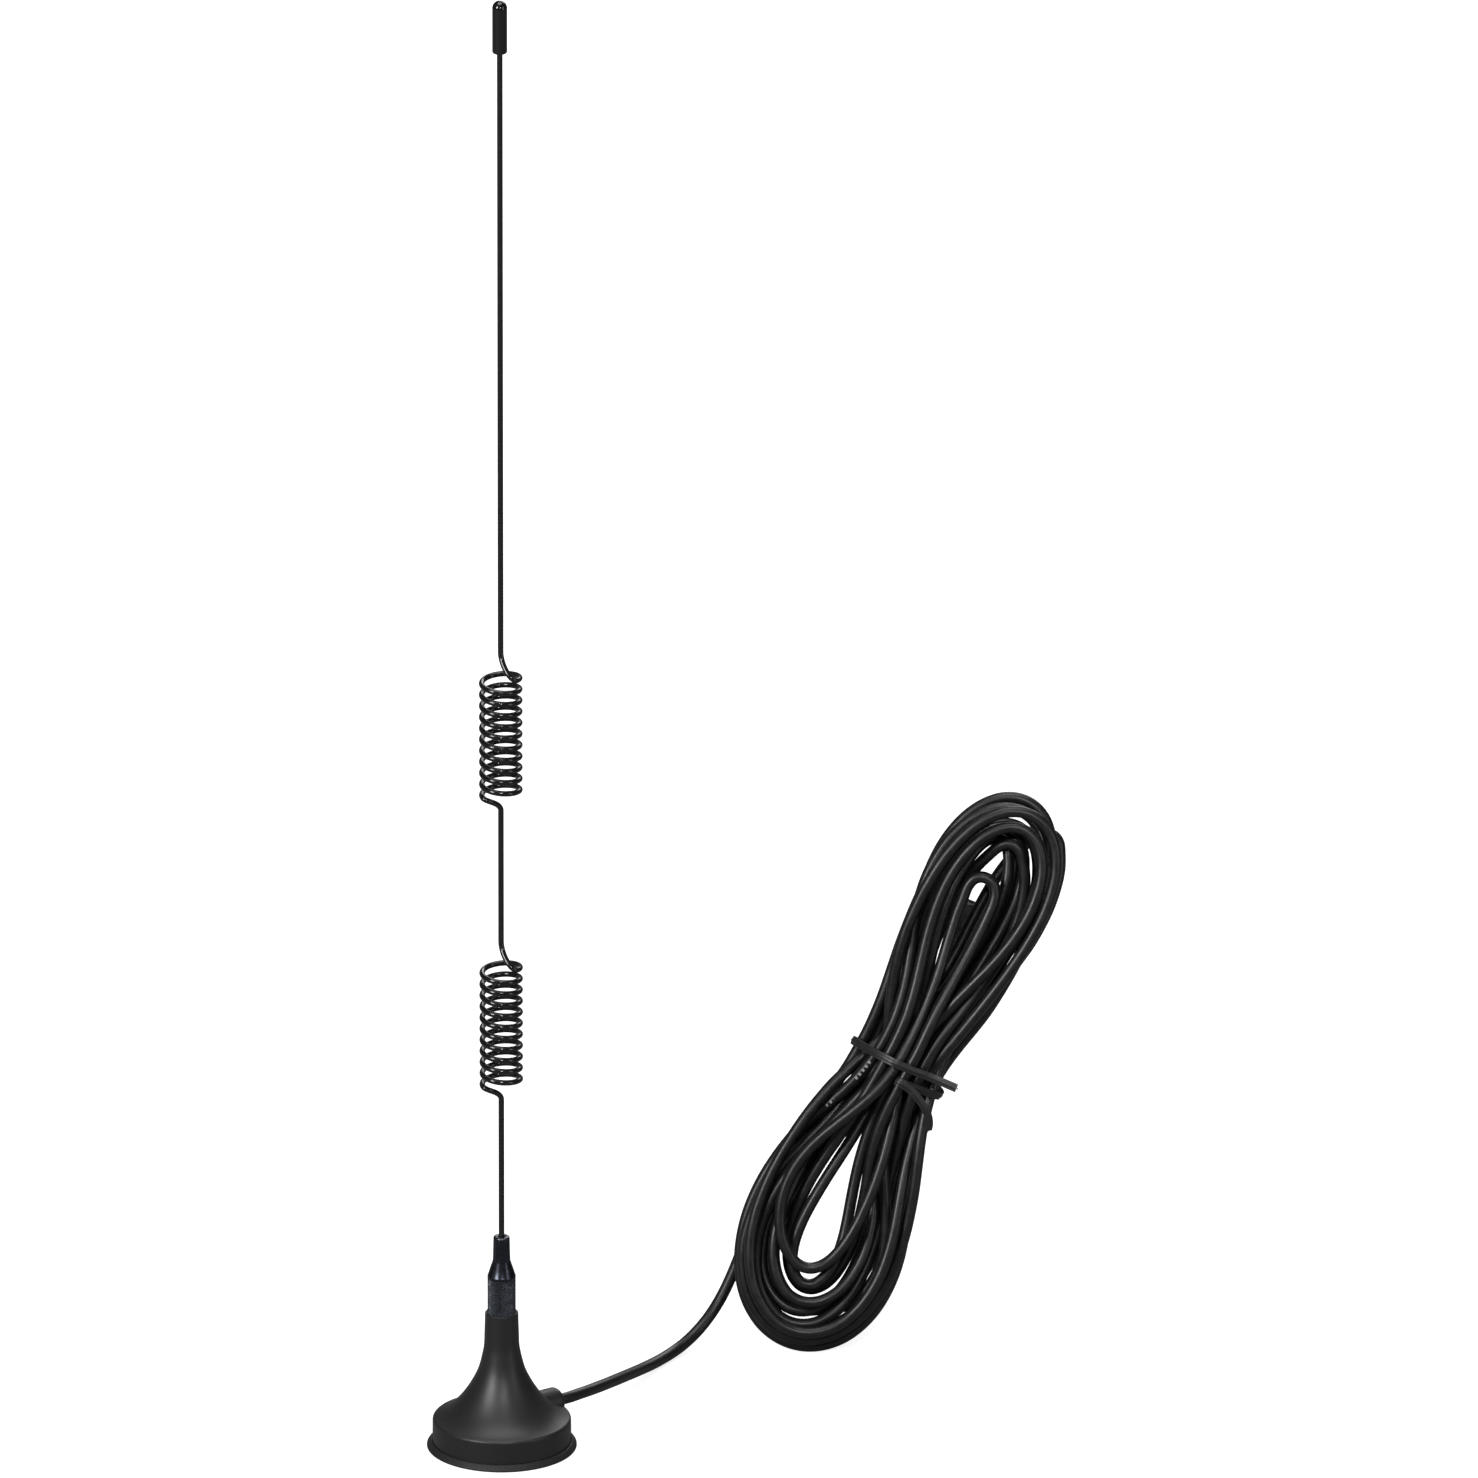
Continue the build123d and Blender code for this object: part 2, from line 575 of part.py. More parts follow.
# ---------------------------------------------------------------- stations
# Cable centre line from the base to the plug: position x y z, unit direction x y z.
CABLE = table("""
7.492 5.246 6.500 .81915 .57358 .00000
9.704 6.795 6.500 .81915 .57358 .00000
11.915 8.343 6.500 .81915 .57358 .00000
13.955 10.085 6.431 .64041 .76483 -.07013
14.887 11.277 6.311 .61242 .78648 -.07995
17.286 14.331 5.982 .57470 .81165 -.10459
19.744 18.293 5.390 .49703 .85657 -.13871
22.073 22.754 4.612 .43821 .88413 -.16213
23.858 26.536 3.899 .41337 .89404 -.17270
26.165 31.608 2.916 .40902 .89629 -.17135
27.356 34.191 2.435 .41791 .89441 -.15928
32.576 44.114 1.323 .52101 .85353 -.00591
37.132 50.522 2.334 .60786 .73777 .29361
42.591 56.038 7.216 .52594 .43673 .72983
47.126 59.179 16.057 .36118 .19800 .91123
50.581 60.795 25.150 .36611 .13314 .92100
52.680 61.475 29.968 .43369 .12345 .89256
54.790 62.024 33.868 .50969 .12489 .85124
57.047 62.514 37.196 .59754 .12139 .79259
66.796 64.729 47.547 .71266 .20080 .67215
75.833 68.300 57.582 .52526 .29255 .79907
78.258 69.821 62.040 .38683 .27658 .87970
80.995 72.082 71.652 .17383 .17116 .96979
81.747 72.862 76.396 .14332 .15445 .97755
84.124 75.288 89.095 .26525 .21961 .93884
88.497 77.829 98.953 .53909 .21914 .81324
94.949 79.503 105.527 .83509 .11678 .53757
102.919 79.643 107.702 .98638 -.10821 -.12384
107.357 78.695 105.572 .68596 -.24343 -.68571
109.733 77.254 100.825 .17946 -.25099 -.95121
109.475 75.867 94.525 -.22605 -.18604 -.95619
106.086 74.496 86.754 -.52430 -.14167 -.83967
98.830 72.586 77.482 -.63556 -.20850 -.74337
96.829 71.850 75.071 -.60688 -.24658 -.75558
95.155 71.112 72.944 -.58481 -.27806 -.76203
94.028 70.550 71.425 -.55581 -.29152 -.77852
92.101 69.414 68.557 -.50183 -.33178 -.79880
90.409 68.187 65.581 -.42569 -.33882 -.83904
89.250 67.172 63.237 -.40734 -.39123 -.82524
88.137 66.044 60.923 -.38173 -.40551 -.83057
87.137 64.907 58.565 -.33762 -.40876 -.84789
86.475 64.089 56.897 -.33143 -.41882 -.84542
85.738 63.099 54.856 -.28467 -.40724 -.86782
85.069 62.143 52.774 -.27912 -.39545 -.87505
84.549 61.370 51.038 -.24226 -.38953 -.88858
84.184 60.764 49.652 -.23575 -.39066 -.88983
83.231 59.330 46.457 -.27610 -.39461 -.87638
82.596 58.394 44.357 -.25019 -.39035 -.88602
82.116 57.626 42.607 -.24322 -.39043 -.88793
80.864 55.567 37.901 -.21684 -.38629 -.89653
79.848 53.553 33.123 -.16789 -.37321 -.91243
79.308 52.396 30.178 -.17356 -.34768 -.92141
78.818 51.435 27.598 -.18219 -.33564 -.92420
77.733 49.949 23.085 -.26133 -.28396 -.92253
73.783 47.383 13.980 -.53172 -.21782 -.81843
64.568 45.320 6.521 -.95598 -.09173 -.27873
56.470 45.373 7.271 -.87667 .11323 .46758
52.037 46.488 11.535 -.51237 .22349 .82917
49.538 49.107 21.287 -.00275 .25442 .96709
51.482 51.832 31.799 .32547 .23729 .91529
57.930 55.239 44.237 .53984 .24910 .80406
60.928 56.629 48.380 .59073 .28010 .75670
63.416 57.822 51.342 .63350 .30929 .70924
67.226 59.739 55.111 .72124 .35568 .59440
68.351 60.294 56.022 .72508 .36101 .58645
70.972 61.668 58.101 .73626 .39447 .54984
72.753 62.524 59.417 .75574 .33392 .56334
74.473 63.470 60.753 .68802 .46733 .55519
76.509 64.526 62.311 .78735 .24817 .56436
77.738 64.871 63.189 .79098 .22118 .57046
80.174 65.773 65.048 .72622 .34809 .59282
82.192 66.675 66.758 .71881 .28640 .63348
84.925 67.945 69.448 .63699 .33018 .69658
88.501 69.929 74.002 .53018 .32462 .78328
95.118 74.245 85.596 .46335 .29501 .83563
101.760 77.777 95.380 .64500 .27369 .71349
104.658 78.795 97.993 .78626 .22782 .57436
107.694 79.538 99.778 .92073 .15960 .35606
110.278 79.557 99.703 .84929 -.18546 -.49428
111.304 79.148 98.670 .44845 -.33998 -.82662
111.722 78.088 96.176 .03745 -.39260 -.91895
111.631 76.856 93.241 -.12616 -.37801 -.91717
110.500 75.068 88.856 -.30761 -.35457 -.88298
105.873 71.507 79.914 -.53522 -.31190 -.78502
103.541 70.295 76.832 -.59515 -.29798 -.74633
102.066 69.600 75.089 -.64813 -.27859 -.70874
97.265 67.838 70.395 -.70018 -.25710 -.66607
92.967 65.937 65.866 -.58913 -.33065 -.73729
90.752 64.528 62.784 -.50343 -.36598 -.78270
88.898 62.993 59.526 -.42111 -.39369 -.81711
87.643 61.709 56.856 -.34544 -.39322 -.85208
86.986 60.922 55.170 -.33176 -.41253 -.84838
86.067 59.736 52.803 -.31002 -.41862 -.85360
84.678 57.613 48.166 -.21975 -.38294 -.89726
84.049 56.452 45.238 -.17078 -.33763 -.92566
83.803 55.943 43.791 -.14709 -.31796 -.93662
83.177 54.593 39.162 -.12059 -.23555 -.96435
82.891 54.071 36.858 -.12026 -.20461 -.97143
82.347 53.342 32.926 -.15491 -.16001 -.97489
81.646 52.728 28.996 -.19188 -.14469 -.97069
80.447 51.966 23.903 -.26472 -.14749 -.95298
75.621 49.925 12.755 -.54124 -.17807 -.82180
69.171 48.360 6.150 -.83127 -.13796 -.53847
58.844 47.742 3.839 -.98117 .04860 .18693
50.709 49.245 9.518 -.52502 .21580 .82327
48.189 51.222 17.267 -.08528 .23887 .96730
51.181 54.367 30.801 .45995 .19505 .86626
53.993 55.385 35.171 .59255 .19326 .78200
57.388 56.441 39.089 .67903 .21143 .70301
61.084 57.677 42.658 .70415 .25740 .66175
64.195 58.995 45.558 .68381 .33745 .64694
65.756 59.827 47.153 .62315 .35751 .69560
67.699 61.023 49.420 .58698 .38734 .71093
70.123 62.783 52.728 .50897 .39044 .76714
72.608 64.803 56.945 .44167 .34657 .82753
73.623 65.617 58.950 .40890 .33355 .84944
75.254 66.777 62.472 .40419 .21739 .88847
76.216 67.225 64.616 .39619 .16974 .90234
78.409 68.005 69.834 .37502 .09694 .92194
79.141 68.188 71.657 .36601 .09189 .92606
80.149 68.429 74.263 .35394 .07688 .93210
81.135 68.632 76.878 .34892 .07081 .93447
81.943 68.802 79.119 .32631 .07134 .94257
82.579 68.940 80.980 .32222 .06851 .94418
83.370 69.110 83.226 .34561 .07683 .93523
85.306 69.546 88.137 .37239 .08310 .92435
86.388 69.796 90.713 .40468 .09722 .90928
88.744 70.375 95.422 .48882 .12060 .86401
93.949 71.597 102.131 .74381 .15901 .64920
99.191 72.573 104.845 .97524 .15173 .16090
104.304 73.133 103.423 .74815 .03154 -.66278
106.993 72.918 98.216 .18593 -.08339 -.97902
107.222 72.740 96.289 .05428 -.09772 -.99373
105.699 71.749 87.109 -.32500 -.09892 -.94052
101.490 71.003 78.232 -.50644 -.04779 -.86095
99.571 70.862 75.150 -.53660 -.03998 -.84289
97.577 70.693 72.118 -.56452 -.05072 -.82386
96.214 70.569 70.161 -.57763 -.05680 -.81432
93.064 70.133 65.929 -.61109 -.10847 -.78410
90.814 69.626 63.122 -.62317 -.17509 -.76223
88.589 68.900 60.340 -.59418 -.21901 -.77394
83.500 66.140 51.871 -.35964 -.30132 -.88310
81.360 63.014 42.373 -.08059 -.30054 -.95036
81.039 58.797 29.105 -.03563 -.30516 -.95163
78.671 54.509 15.629 -.33141 -.28044 -.90084
73.665 51.912 7.092 -.65337 -.21503 -.72586
64.919 50.376 1.605 -.96869 -.05333 -.24246
54.605 51.117 3.104 -.83653 .18484 .51580
48.583 53.678 10.914 -.31187 .28044 .90780
48.248 57.399 23.711 .21630 .25938 .94124
53.759 60.571 36.135 .53833 .18542 .82208
61.278 62.245 45.784 .64038 .11209 .75984
64.623 62.846 49.842 .61754 .11830 .77759
66.324 63.183 52.045 .59203 .12676 .79588
68.627 63.726 55.335 .55027 .12784 .82514
69.891 64.066 57.334 .50525 .16024 .84797
70.665 64.316 58.665 .48946 .15269 .85856
73.514 65.157 64.029 .42393 .15179 .89289
74.159 65.401 65.428 .40422 .15911 .90072
76.142 66.352 70.249 .34369 .20532 .91636
77.345 67.161 73.585 .32162 .23904 .91620
78.622 68.200 77.286 .31128 .27238 .91045
79.524 68.992 79.822 .33685 .29058 .89560
80.060 69.448 81.213 .34816 .29522 .88973
81.980 71.047 85.888 .38088 .30498 .87288
87.970 74.845 97.001 .55393 .25383 .79293
94.288 76.758 103.675 .80448 .13308 .57888
101.714 76.944 106.416 .99276 -.12000 .00566
107.214 75.369 104.203 .64952 -.35310 -.67338
109.599 72.782 98.497 .08867 -.37607 -.92234
108.373 69.637 89.772 -.28843 -.28764 -.91328
103.208 66.738 78.003 -.45767 -.14969 -.87643
100.697 66.092 73.379 -.49058 -.09096 -.86663
98.867 65.829 70.249 -.51602 -.05669 -.85470
96.233 65.688 66.147 -.57139 .00023 -.82068
91.554 65.638 59.937 -.60447 -.03578 -.79582
88.461 65.183 55.667 -.54966 -.14227 -.82318
86.782 64.601 52.979 -.49662 -.23101 -.83666
85.837 64.088 51.322 -.45582 -.28380 -.84361
84.201 62.811 47.842 -.35482 -.34225 -.87004
82.410 60.624 42.413 -.23884 -.35574 -.90355
81.280 58.854 37.561 -.20761 -.30438 -.92965
80.718 58.051 34.940 -.18738 -.27001 -.94445
80.431 57.646 33.467 -.18431 -.25083 -.95032
79.664 56.727 29.606 -.18943 -.20609 -.96002
77.917 55.304 21.732 -.24973 -.15136 -.95641
76.353 54.516 16.738 -.34935 -.14947 -.92500
72.723 53.243 9.989 -.60663 -.18742 -.77258
69.613 52.371 6.937 -.78503 -.19211 -.58892
59.843 50.931 4.387 -.98550 -.03905 .16513
51.443 51.925 10.368 -.48719 .20147 .84974
49.471 54.572 20.653 .07731 .25382 .96416
52.600 57.402 32.200 .38777 .19336 .90125
54.308 58.112 35.808 .45290 .15593 .87782
58.313 59.023 42.419 .58354 .06241 .80968
59.239 59.110 43.667 .60663 .04949 .79344
62.416 59.182 47.350 .70800 -.02083 .70590
66.313 59.054 50.893 .74833 -.03008 .66264
67.755 58.997 52.223 .71738 -.02629 .69618
70.823 58.972 55.443 .66365 .01545 .74788
71.837 59.008 56.621 .63928 .03054 .76837
74.965 59.375 60.873 .54142 .11069 .83343
77.537 60.205 65.428 .42854 .20518 .87992
79.490 61.583 70.153 .30901 .30480 .90090
80.470 62.761 73.446 .23171 .34074 .91116
81.480 64.615 78.289 .15396 .35489 .92215
82.077 66.183 82.410 .12462 .35310 .92725
82.473 67.255 85.406 .12834 .32113 .93830
82.900 68.191 88.006 .19331 .34913 .91692
83.832 69.479 91.268 .29736 .34754 .88927
85.767 71.267 95.859 .44436 .32495 .83483
86.494 71.764 97.147 .48525 .31028 .81747
92.412 74.148 104.028 .77446 .17823 .60700
100.048 74.737 107.396 .99270 -.06927 .09874
105.212 73.694 106.236 .78594 -.30196 -.53955
108.143 71.428 101.238 .14578 -.36334 -.92018
107.444 68.862 94.017 -.26407 -.29592 -.91799
106.287 67.853 90.723 -.36532 -.26013 -.89380
104.275 66.667 86.432 -.45511 -.22036 -.86274
102.937 66.099 84.031 -.49347 -.19375 -.84791
100.867 65.306 80.634 -.52843 -.19029 -.82738
98.439 64.433 76.985 -.55652 -.20495 -.80516
92.653 62.011 69.374 -.61665 -.29321 -.73060
91.686 61.546 68.246 -.62534 -.30375 -.71880
88.367 59.919 64.458 -.60621 -.30594 -.73411
85.434 58.441 60.306 -.49655 -.24138 -.83377
83.310 57.524 56.009 -.37115 -.12904 -.91956
81.952 57.154 52.215 -.30228 -.05765 -.95147
81.298 57.063 49.924 -.25592 -.02054 -.96648
80.897 57.045 48.423 -.26145 -.00358 -.96521
79.892 57.075 44.513 -.22879 .01350 -.97338
78.950 57.111 40.165 -.19312 -.00617 -.98116
78.213 56.976 36.202 -.20412 -.06670 -.97667
77.890 56.848 34.688 -.20535 -.09815 -.97375
77.328 56.492 31.970 -.20910 -.15416 -.96567
76.898 56.153 30.078 -.22523 -.19150 -.95530
75.722 55.005 25.488 -.26324 -.27777 -.92388
74.176 53.335 20.709 -.32877 -.34195 -.88033
70.076 50.081 12.867 -.56030 -.31558 -.76582
64.889 48.169 8.120 -.86489 -.18389 -.46707
59.538 47.654 6.945 -.99548 .01447 .09381
57.681 47.752 7.343 -.94316 .08866 .32030
52.041 49.360 12.930 -.38120 .24756 .89073
51.533 49.738 14.319 -.28564 .24694 .92598
51.012 51.659 22.555 .13291 .19160 .97243
51.266 51.946 24.060 .19286 .17806 .96493
52.761 52.764 29.065 .36389 .13088 .92220
55.732 53.564 34.834 .53686 .12352 .83458
58.622 54.274 38.700 .62430 .16874 .76275
66.942 56.974 47.394 .69934 .22900 .67711
69.476 57.772 49.864 .69755 .20476 .68665
73.110 58.661 53.597 .66581 .13696 .73344
75.687 59.125 56.682 .59626 .11452 .79458
78.086 59.886 60.371 .47568 .23113 .84871
79.488 61.025 63.519 .31475 .36849 .87473
80.724 62.812 67.412 .24590 .42885 .86926
81.978 65.122 71.996 .26515 .43362 .86120
82.791 66.300 74.402 .30855 .40222 .86199
84.491 68.268 79.014 .32880 .34404 .87950
85.518 69.313 81.880 .30530 .30573 .90184
85.989 69.779 83.292 .29813 .29130 .90899
86.791 70.552 85.864 .27187 .25860 .92694
88.246 71.789 90.802 .28985 .22112 .93118
91.485 73.595 98.567 .51759 .18434 .83554
92.613 73.938 100.151 .62720 .16333 .76154
96.374 74.572 103.082 .91841 .08872 .38554
101.322 74.674 102.790 .86599 -.05994 -.49646
104.447 73.730 97.137 .08773 -.18962 -.97793
103.213 71.943 89.745 -.33740 -.26768 -.90250
99.450 69.314 82.457 -.49780 -.33849 -.79851
97.816 68.200 79.914 -.51558 -.35073 -.78177
95.908 66.930 77.091 -.53007 -.34478 -.77469
95.083 66.399 75.880 -.52806 -.33611 -.77986
90.831 64.054 69.265 -.50260 -.21444 -.83750
90.052 63.734 67.952 -.49681 -.19365 -.84598
88.659 63.291 65.557 -.49578 -.12217 -.85981
87.889 63.116 64.213 -.49242 -.10656 -.86381
86.287 62.788 61.437 -.50474 -.09947 -.85752
85.292 62.593 59.742 -.50205 -.09838 -.85923
83.189 62.116 56.313 -.53868 -.15222 -.82864
80.787 61.229 52.649 -.52272 -.23531 -.81939
79.785 60.730 51.021 -.48493 -.27133 -.83140
77.732 59.020 46.453 -.31281 -.34870 -.88349
76.611 57.101 41.666 -.12666 -.35852 -.92489
76.341 55.578 37.508 .00364 -.31631 -.94865
76.820 53.176 28.050 .03261 -.18168 -.98282
76.170 51.999 19.613 -.23886 -.08729 -.96712
74.620 51.696 15.449 -.45626 -.04979 -.88845
68.683 51.547 9.454 -.89675 .01831 -.44216
62.487 51.789 8.529 -.97969 .05357 .19322
56.714 52.143 12.378 -.58036 .08485 .80993
54.422 53.178 19.478 -.03525 .18637 .98185
56.988 55.405 29.033 .47547 .21926 .85197
58.906 56.145 32.032 .57624 .17226 .79892
63.148 57.236 37.437 .61259 .14831 .77636
68.129 58.836 44.286 .53081 .24343 .81177
70.807 60.354 48.600 .47581 .33348 .81388
73.223 62.345 52.874 .43979 .40733 .80042
74.606 63.702 55.442 .41995 .44152 .79291
75.931 65.104 58.018 .40531 .42139 .81126
76.892 66.108 59.960 .39695 .41684 .81772
78.561 67.712 63.773 .36064 .27578 .89100
80.259 68.859 68.207 .32380 .21410 .92158
80.753 69.182 69.650 .31229 .19961 .92878
81.854 69.877 73.043 .28849 .19641 .93712
82.296 70.188 74.504 .28046 .20324 .93810
85.081 72.383 83.708 .30441 .24193 .92131
85.568 72.762 85.139 .32058 .24420 .91520
90.112 75.400 94.917 .52412 .21543 .82395
94.178 76.678 99.853 .73780 .16766 .65387
97.520 77.214 101.979 .93189 .08656 .35227
100.565 77.202 102.033 .91528 -.11363 -.38645
102.490 76.562 99.795 .30724 -.26206 -.91484
102.833 75.553 96.384 -.06541 -.29231 -.95408
101.901 74.133 91.828 -.28256 -.28510 -.91590
101.427 73.695 90.408 -.32433 -.27704 -.90447
99.767 72.504 86.435 -.40747 -.25731 -.87622
97.623 71.319 82.207 -.46888 -.22528 -.85405
95.023 70.221 77.717 -.51140 -.18604 -.83897
92.232 69.346 73.295 -.53970 -.14412 -.82943
86.765 68.181 65.161 -.56124 -.10748 -.82064
79.646 66.045 54.272 -.48605 -.25605 -.83558
75.342 61.733 44.072 -.20129 -.44051 -.87489
74.546 57.923 36.453 -.01323 -.43113 -.90219
74.509 56.730 33.939 -.01733 -.42557 -.90476
74.473 55.907 32.162 -.02047 -.41382 -.91013
74.030 53.438 26.616 -.15106 -.39786 -.90493
71.588 50.231 19.047 -.44256 -.34237 -.82881
67.095 48.024 13.726 -.78766 -.24316 -.56610
61.168 47.041 11.875 -.99595 -.03348 .08341
56.475 47.547 14.392 -.61948 .19934 .75928
54.318 49.351 20.499 -.06258 .30579 .95004
56.160 52.954 30.281 .34854 .36491 .86334
58.315 54.962 34.681 .44461 .38224 .81007
59.857 56.228 37.206 .51913 .40722 .75145
61.388 57.378 39.251 .57208 .41210 .70916
64.624 59.556 42.815 .63853 .40443 .65476
66.969 60.982 45.182 .65897 .38693 .64502
70.493 62.964 48.581 .67240 .36075 .64633
73.974 64.753 52.130 .63505 .31462 .70550
77.354 66.435 56.410 .53804 .27373 .79724
79.933 67.829 60.826 .43356 .25197 .86518
84.454 70.721 72.864 .29522 .18281 .93778
85.287 71.208 75.496 .30190 .16352 .93921
86.287 71.704 78.516 .32109 .14495 .93589
92.023 73.010 91.209 .52095 .03572 .85284
95.042 73.036 95.546 .62438 -.03072 .78051
96.921 72.919 97.609 .70773 -.06196 .70376
98.569 72.656 99.295 .70113 -.15110 .69684
100.855 72.278 100.759 .95901 -.14072 .24596
103.520 71.587 99.752 .57645 -.24979 -.77802
104.366 70.923 96.813 .15787 -.19779 -.96745
104.629 70.239 93.303 -.04286 -.17749 -.98319
103.708 69.209 87.362 -.25098 -.15830 -.95496
101.258 68.193 80.943 -.45151 -.12839 -.88298
98.521 67.558 76.455 -.58068 -.11144 -.80647
92.085 66.464 69.087 -.69155 -.11732 -.71274
89.576 65.999 66.508 -.69262 -.14085 -.70742
87.707 65.638 64.456 -.63606 -.11272 -.76336
85.516 65.249 61.584 -.57494 -.11338 -.81030
83.348 64.770 58.195 -.48979 -.11799 -.86382
81.351 64.157 54.246 -.39835 -.15942 -.90327
77.140 61.233 40.780 -.22598 -.24046 -.94399
76.451 60.416 37.748 -.19959 -.26895 -.94225
76.147 59.992 36.284 -.19417 -.27523 -.94157
75.521 59.093 33.263 -.19703 -.28535 -.93795
74.879 58.150 30.259 -.20556 -.30020 -.93147
73.670 56.513 25.376 -.25527 -.32157 -.91183
73.138 55.872 23.588 -.28518 -.32897 -.90025
71.387 54.054 18.934 -.37992 -.35908 -.85248
67.524 51.224 12.827 -.63787 -.34852 -.68678
62.739 49.527 9.600 -.93515 -.16049 -.31581
57.715 49.679 9.503 -.92839 .20465 .31017
53.127 51.787 13.701 -.40920 .36223 .83747
52.119 54.495 20.731 .11427 .32621 .93836
52.358 54.992 22.183 .18999 .31417 .93016
56.375 57.856 31.131 .55497 .24799 .79404
58.023 58.542 33.296 .61608 .24280 .74933
65.748 60.958 40.853 .74419 .18539 .64172
68.747 61.656 43.462 .73882 .15989 .65465
72.478 62.393 47.123 .66111 .12437 .73991
74.527 62.758 49.576 .61029 .10236 .78554
77.486 63.223 53.942 .50764 .07509 .85829
79.574 63.525 57.877 .43171 .06042 .89999
81.629 63.849 62.746 .35440 .06178 .93305
83.098 64.140 66.949 .29607 .07918 .95188
84.398 64.608 71.622 .22333 .11244 .96824
84.783 64.871 73.534 .17150 .15588 .97277
85.044 65.127 75.045 .17139 .16926 .97055
86.083 66.105 80.133 .21119 .21369 .95380
87.244 67.276 84.721 .27214 .26369 .92542
88.892 68.821 89.510 .35669 .31629 .87905
91.236 70.774 94.338 .47186 .36445 .80282
94.101 72.802 98.290 .62144 .40321 .67174
96.634 74.221 100.429 .82007 .35184 .45132
99.167 74.842 100.826 .95671 .02966 -.28952
100.466 74.703 100.058 .69687 -.20720 -.68661
101.420 73.473 96.950 .04539 -.34854 -.93620
101.111 72.078 93.199 -.19882 -.34575 -.91702
99.832 70.701 89.154 -.35105 -.27921 -.89376
97.803 69.435 84.895 -.45658 -.23389 -.85839
95.820 68.523 81.478 -.51397 -.21197 -.83121
93.712 67.677 78.118 -.52585 -.20757 -.82486
90.881 66.564 73.775 -.53326 -.21817 -.81733
88.086 65.325 69.443 -.51358 -.25446 -.81944
86.242 64.342 66.464 -.49933 -.28566 -.81796
84.891 63.498 64.153 -.46583 -.31590 -.82657
83.041 62.150 60.807 -.44342 -.34471 -.82738
81.402 60.687 57.403 -.36987 -.37727 -.84904
79.895 58.970 53.568 -.30117 -.38877 -.87072
78.660 57.208 49.661 -.24991 -.39514 -.88397
78.217 56.437 47.905 -.20276 -.38693 -.89954
77.906 55.840 46.503 -.20578 -.38194 -.90099
77.184 54.634 43.613 -.23680 -.36606 -.89996
75.761 52.824 38.850 -.30951 -.31162 -.89839
74.132 51.406 34.470 -.35824 -.27111 -.89340
73.076 50.679 31.974 -.39484 -.24709 -.88490
72.272 50.203 30.233 -.41928 -.23587 -.87668
67.927 48.371 23.029 -.61905 -.19072 -.76184
64.361 47.527 19.879 -.87353 -.14665 -.46415
60.559 47.208 19.396 -.95359 .00152 .30111
56.793 47.926 23.151 -.41287 .21637 .88472
55.625 49.714 30.458 .07372 .23138 .97007
59.922 51.916 41.195 .60346 .12301 .78784
66.603 52.723 47.755 .77561 .06068 .62829
69.427 53.001 49.993 .78215 .09348 .61603
71.276 53.233 51.467 .77212 .10907 .62605
75.157 54.210 54.896 .68325 .26315 .68112
77.470 55.309 57.466 .58766 .34709 .73088
78.354 55.871 58.619 .54757 .36942 .75080
80.795 57.751 62.402 .47388 .39204 .78850
82.299 58.999 64.962 .44608 .38788 .80657
84.518 61.021 69.326 .39692 .37253 .83885
85.876 62.372 72.416 .35491 .36637 .86012
87.393 63.970 76.301 .30962 .36229 .87914
88.333 65.129 79.152 .28513 .35154 .89169
89.740 66.756 83.532 .29304 .31723 .90194
91.114 68.073 87.573 .32386 .27246 .90603
92.136 68.779 90.086 .36990 .23694 .89835
92.805 69.240 91.891 .35153 .22134 .90964
95.889 69.715 94.587 .99738 -.07203 .00615
97.336 69.505 94.209 .84624 -.19869 -.49436
98.574 68.315 90.491 -.21746 -.27878 -.93541
97.113 67.192 86.885 -.40972 -.28985 -.86494
94.373 65.260 81.750 -.46710 -.34111 -.81576
92.622 63.975 78.832 -.48421 -.36605 -.79470
91.459 63.084 76.945 -.49148 -.37924 -.78398
89.884 61.847 74.424 -.48290 -.38687 -.78558
87.557 59.984 70.557 -.46787 -.37381 -.80085
85.957 58.739 67.538 -.42503 -.30322 -.85288
84.584 57.842 64.763 -.41847 -.26518 -.86866
83.398 57.155 62.314 -.43498 -.21763 -.87374
81.920 56.532 59.518 -.47688 -.17474 -.86142
79.595 55.775 55.287 -.47204 -.13452 -.87125
77.912 55.323 52.094 -.44480 -.11398 -.88835
76.228 54.902 48.433 -.38293 -.09454 -.91893
74.641 54.503 43.841 -.26032 -.06806 -.96312
73.582 54.160 38.681 -.15684 -.06256 -.98564
73.028 53.950 35.111 -.14989 -.05345 -.98726
72.582 53.801 32.357 -.17508 -.05520 -.98301
71.787 53.576 28.406 -.21669 -.05636 -.97461
68.895 52.955 19.462 -.42765 -.07544 -.90079
64.829 52.418 13.924 -.79167 -.07152 -.60675
60.755 52.237 12.952 -.94689 .00800 .32146
58.263 52.396 15.299 -.44861 .07063 .89093
57.191 52.886 21.160 .03270 .08496 .99585
59.257 53.689 30.277 .36111 .08743 .92842
62.068 54.289 36.151 .49079 .08406 .86721
64.583 54.699 40.316 .53785 .07840 .83939
67.480 55.102 44.732 .55039 .07586 .83146
69.694 55.423 48.109 .54017 .08152 .83760
72.036 55.872 51.888 .50700 .12554 .85276
73.233 56.189 53.932 .49657 .13557 .85735
76.221 57.116 59.208 .48020 .17798 .85891
78.685 58.144 63.789 .43891 .21409 .87265
80.820 59.415 68.471 .35026 .27102 .89658
81.825 60.364 71.379 .28552 .30507 .90852
83.073 61.883 75.843 .23064 .31537 .92052
85.346 64.832 84.966 .26089 .27587 .92511
91.040 68.224 97.723 .56668 .19360 .80087
91.958 68.518 98.946 .61253 .18341 .76888
97.699 69.681 103.953 .87738 .10208 .46881
103.060 69.841 105.119 .98600 -.07505 -.14892
105.185 69.537 104.334 .82963 -.18627 -.52633
108.044 67.690 98.720 .06768 -.30296 -.95060
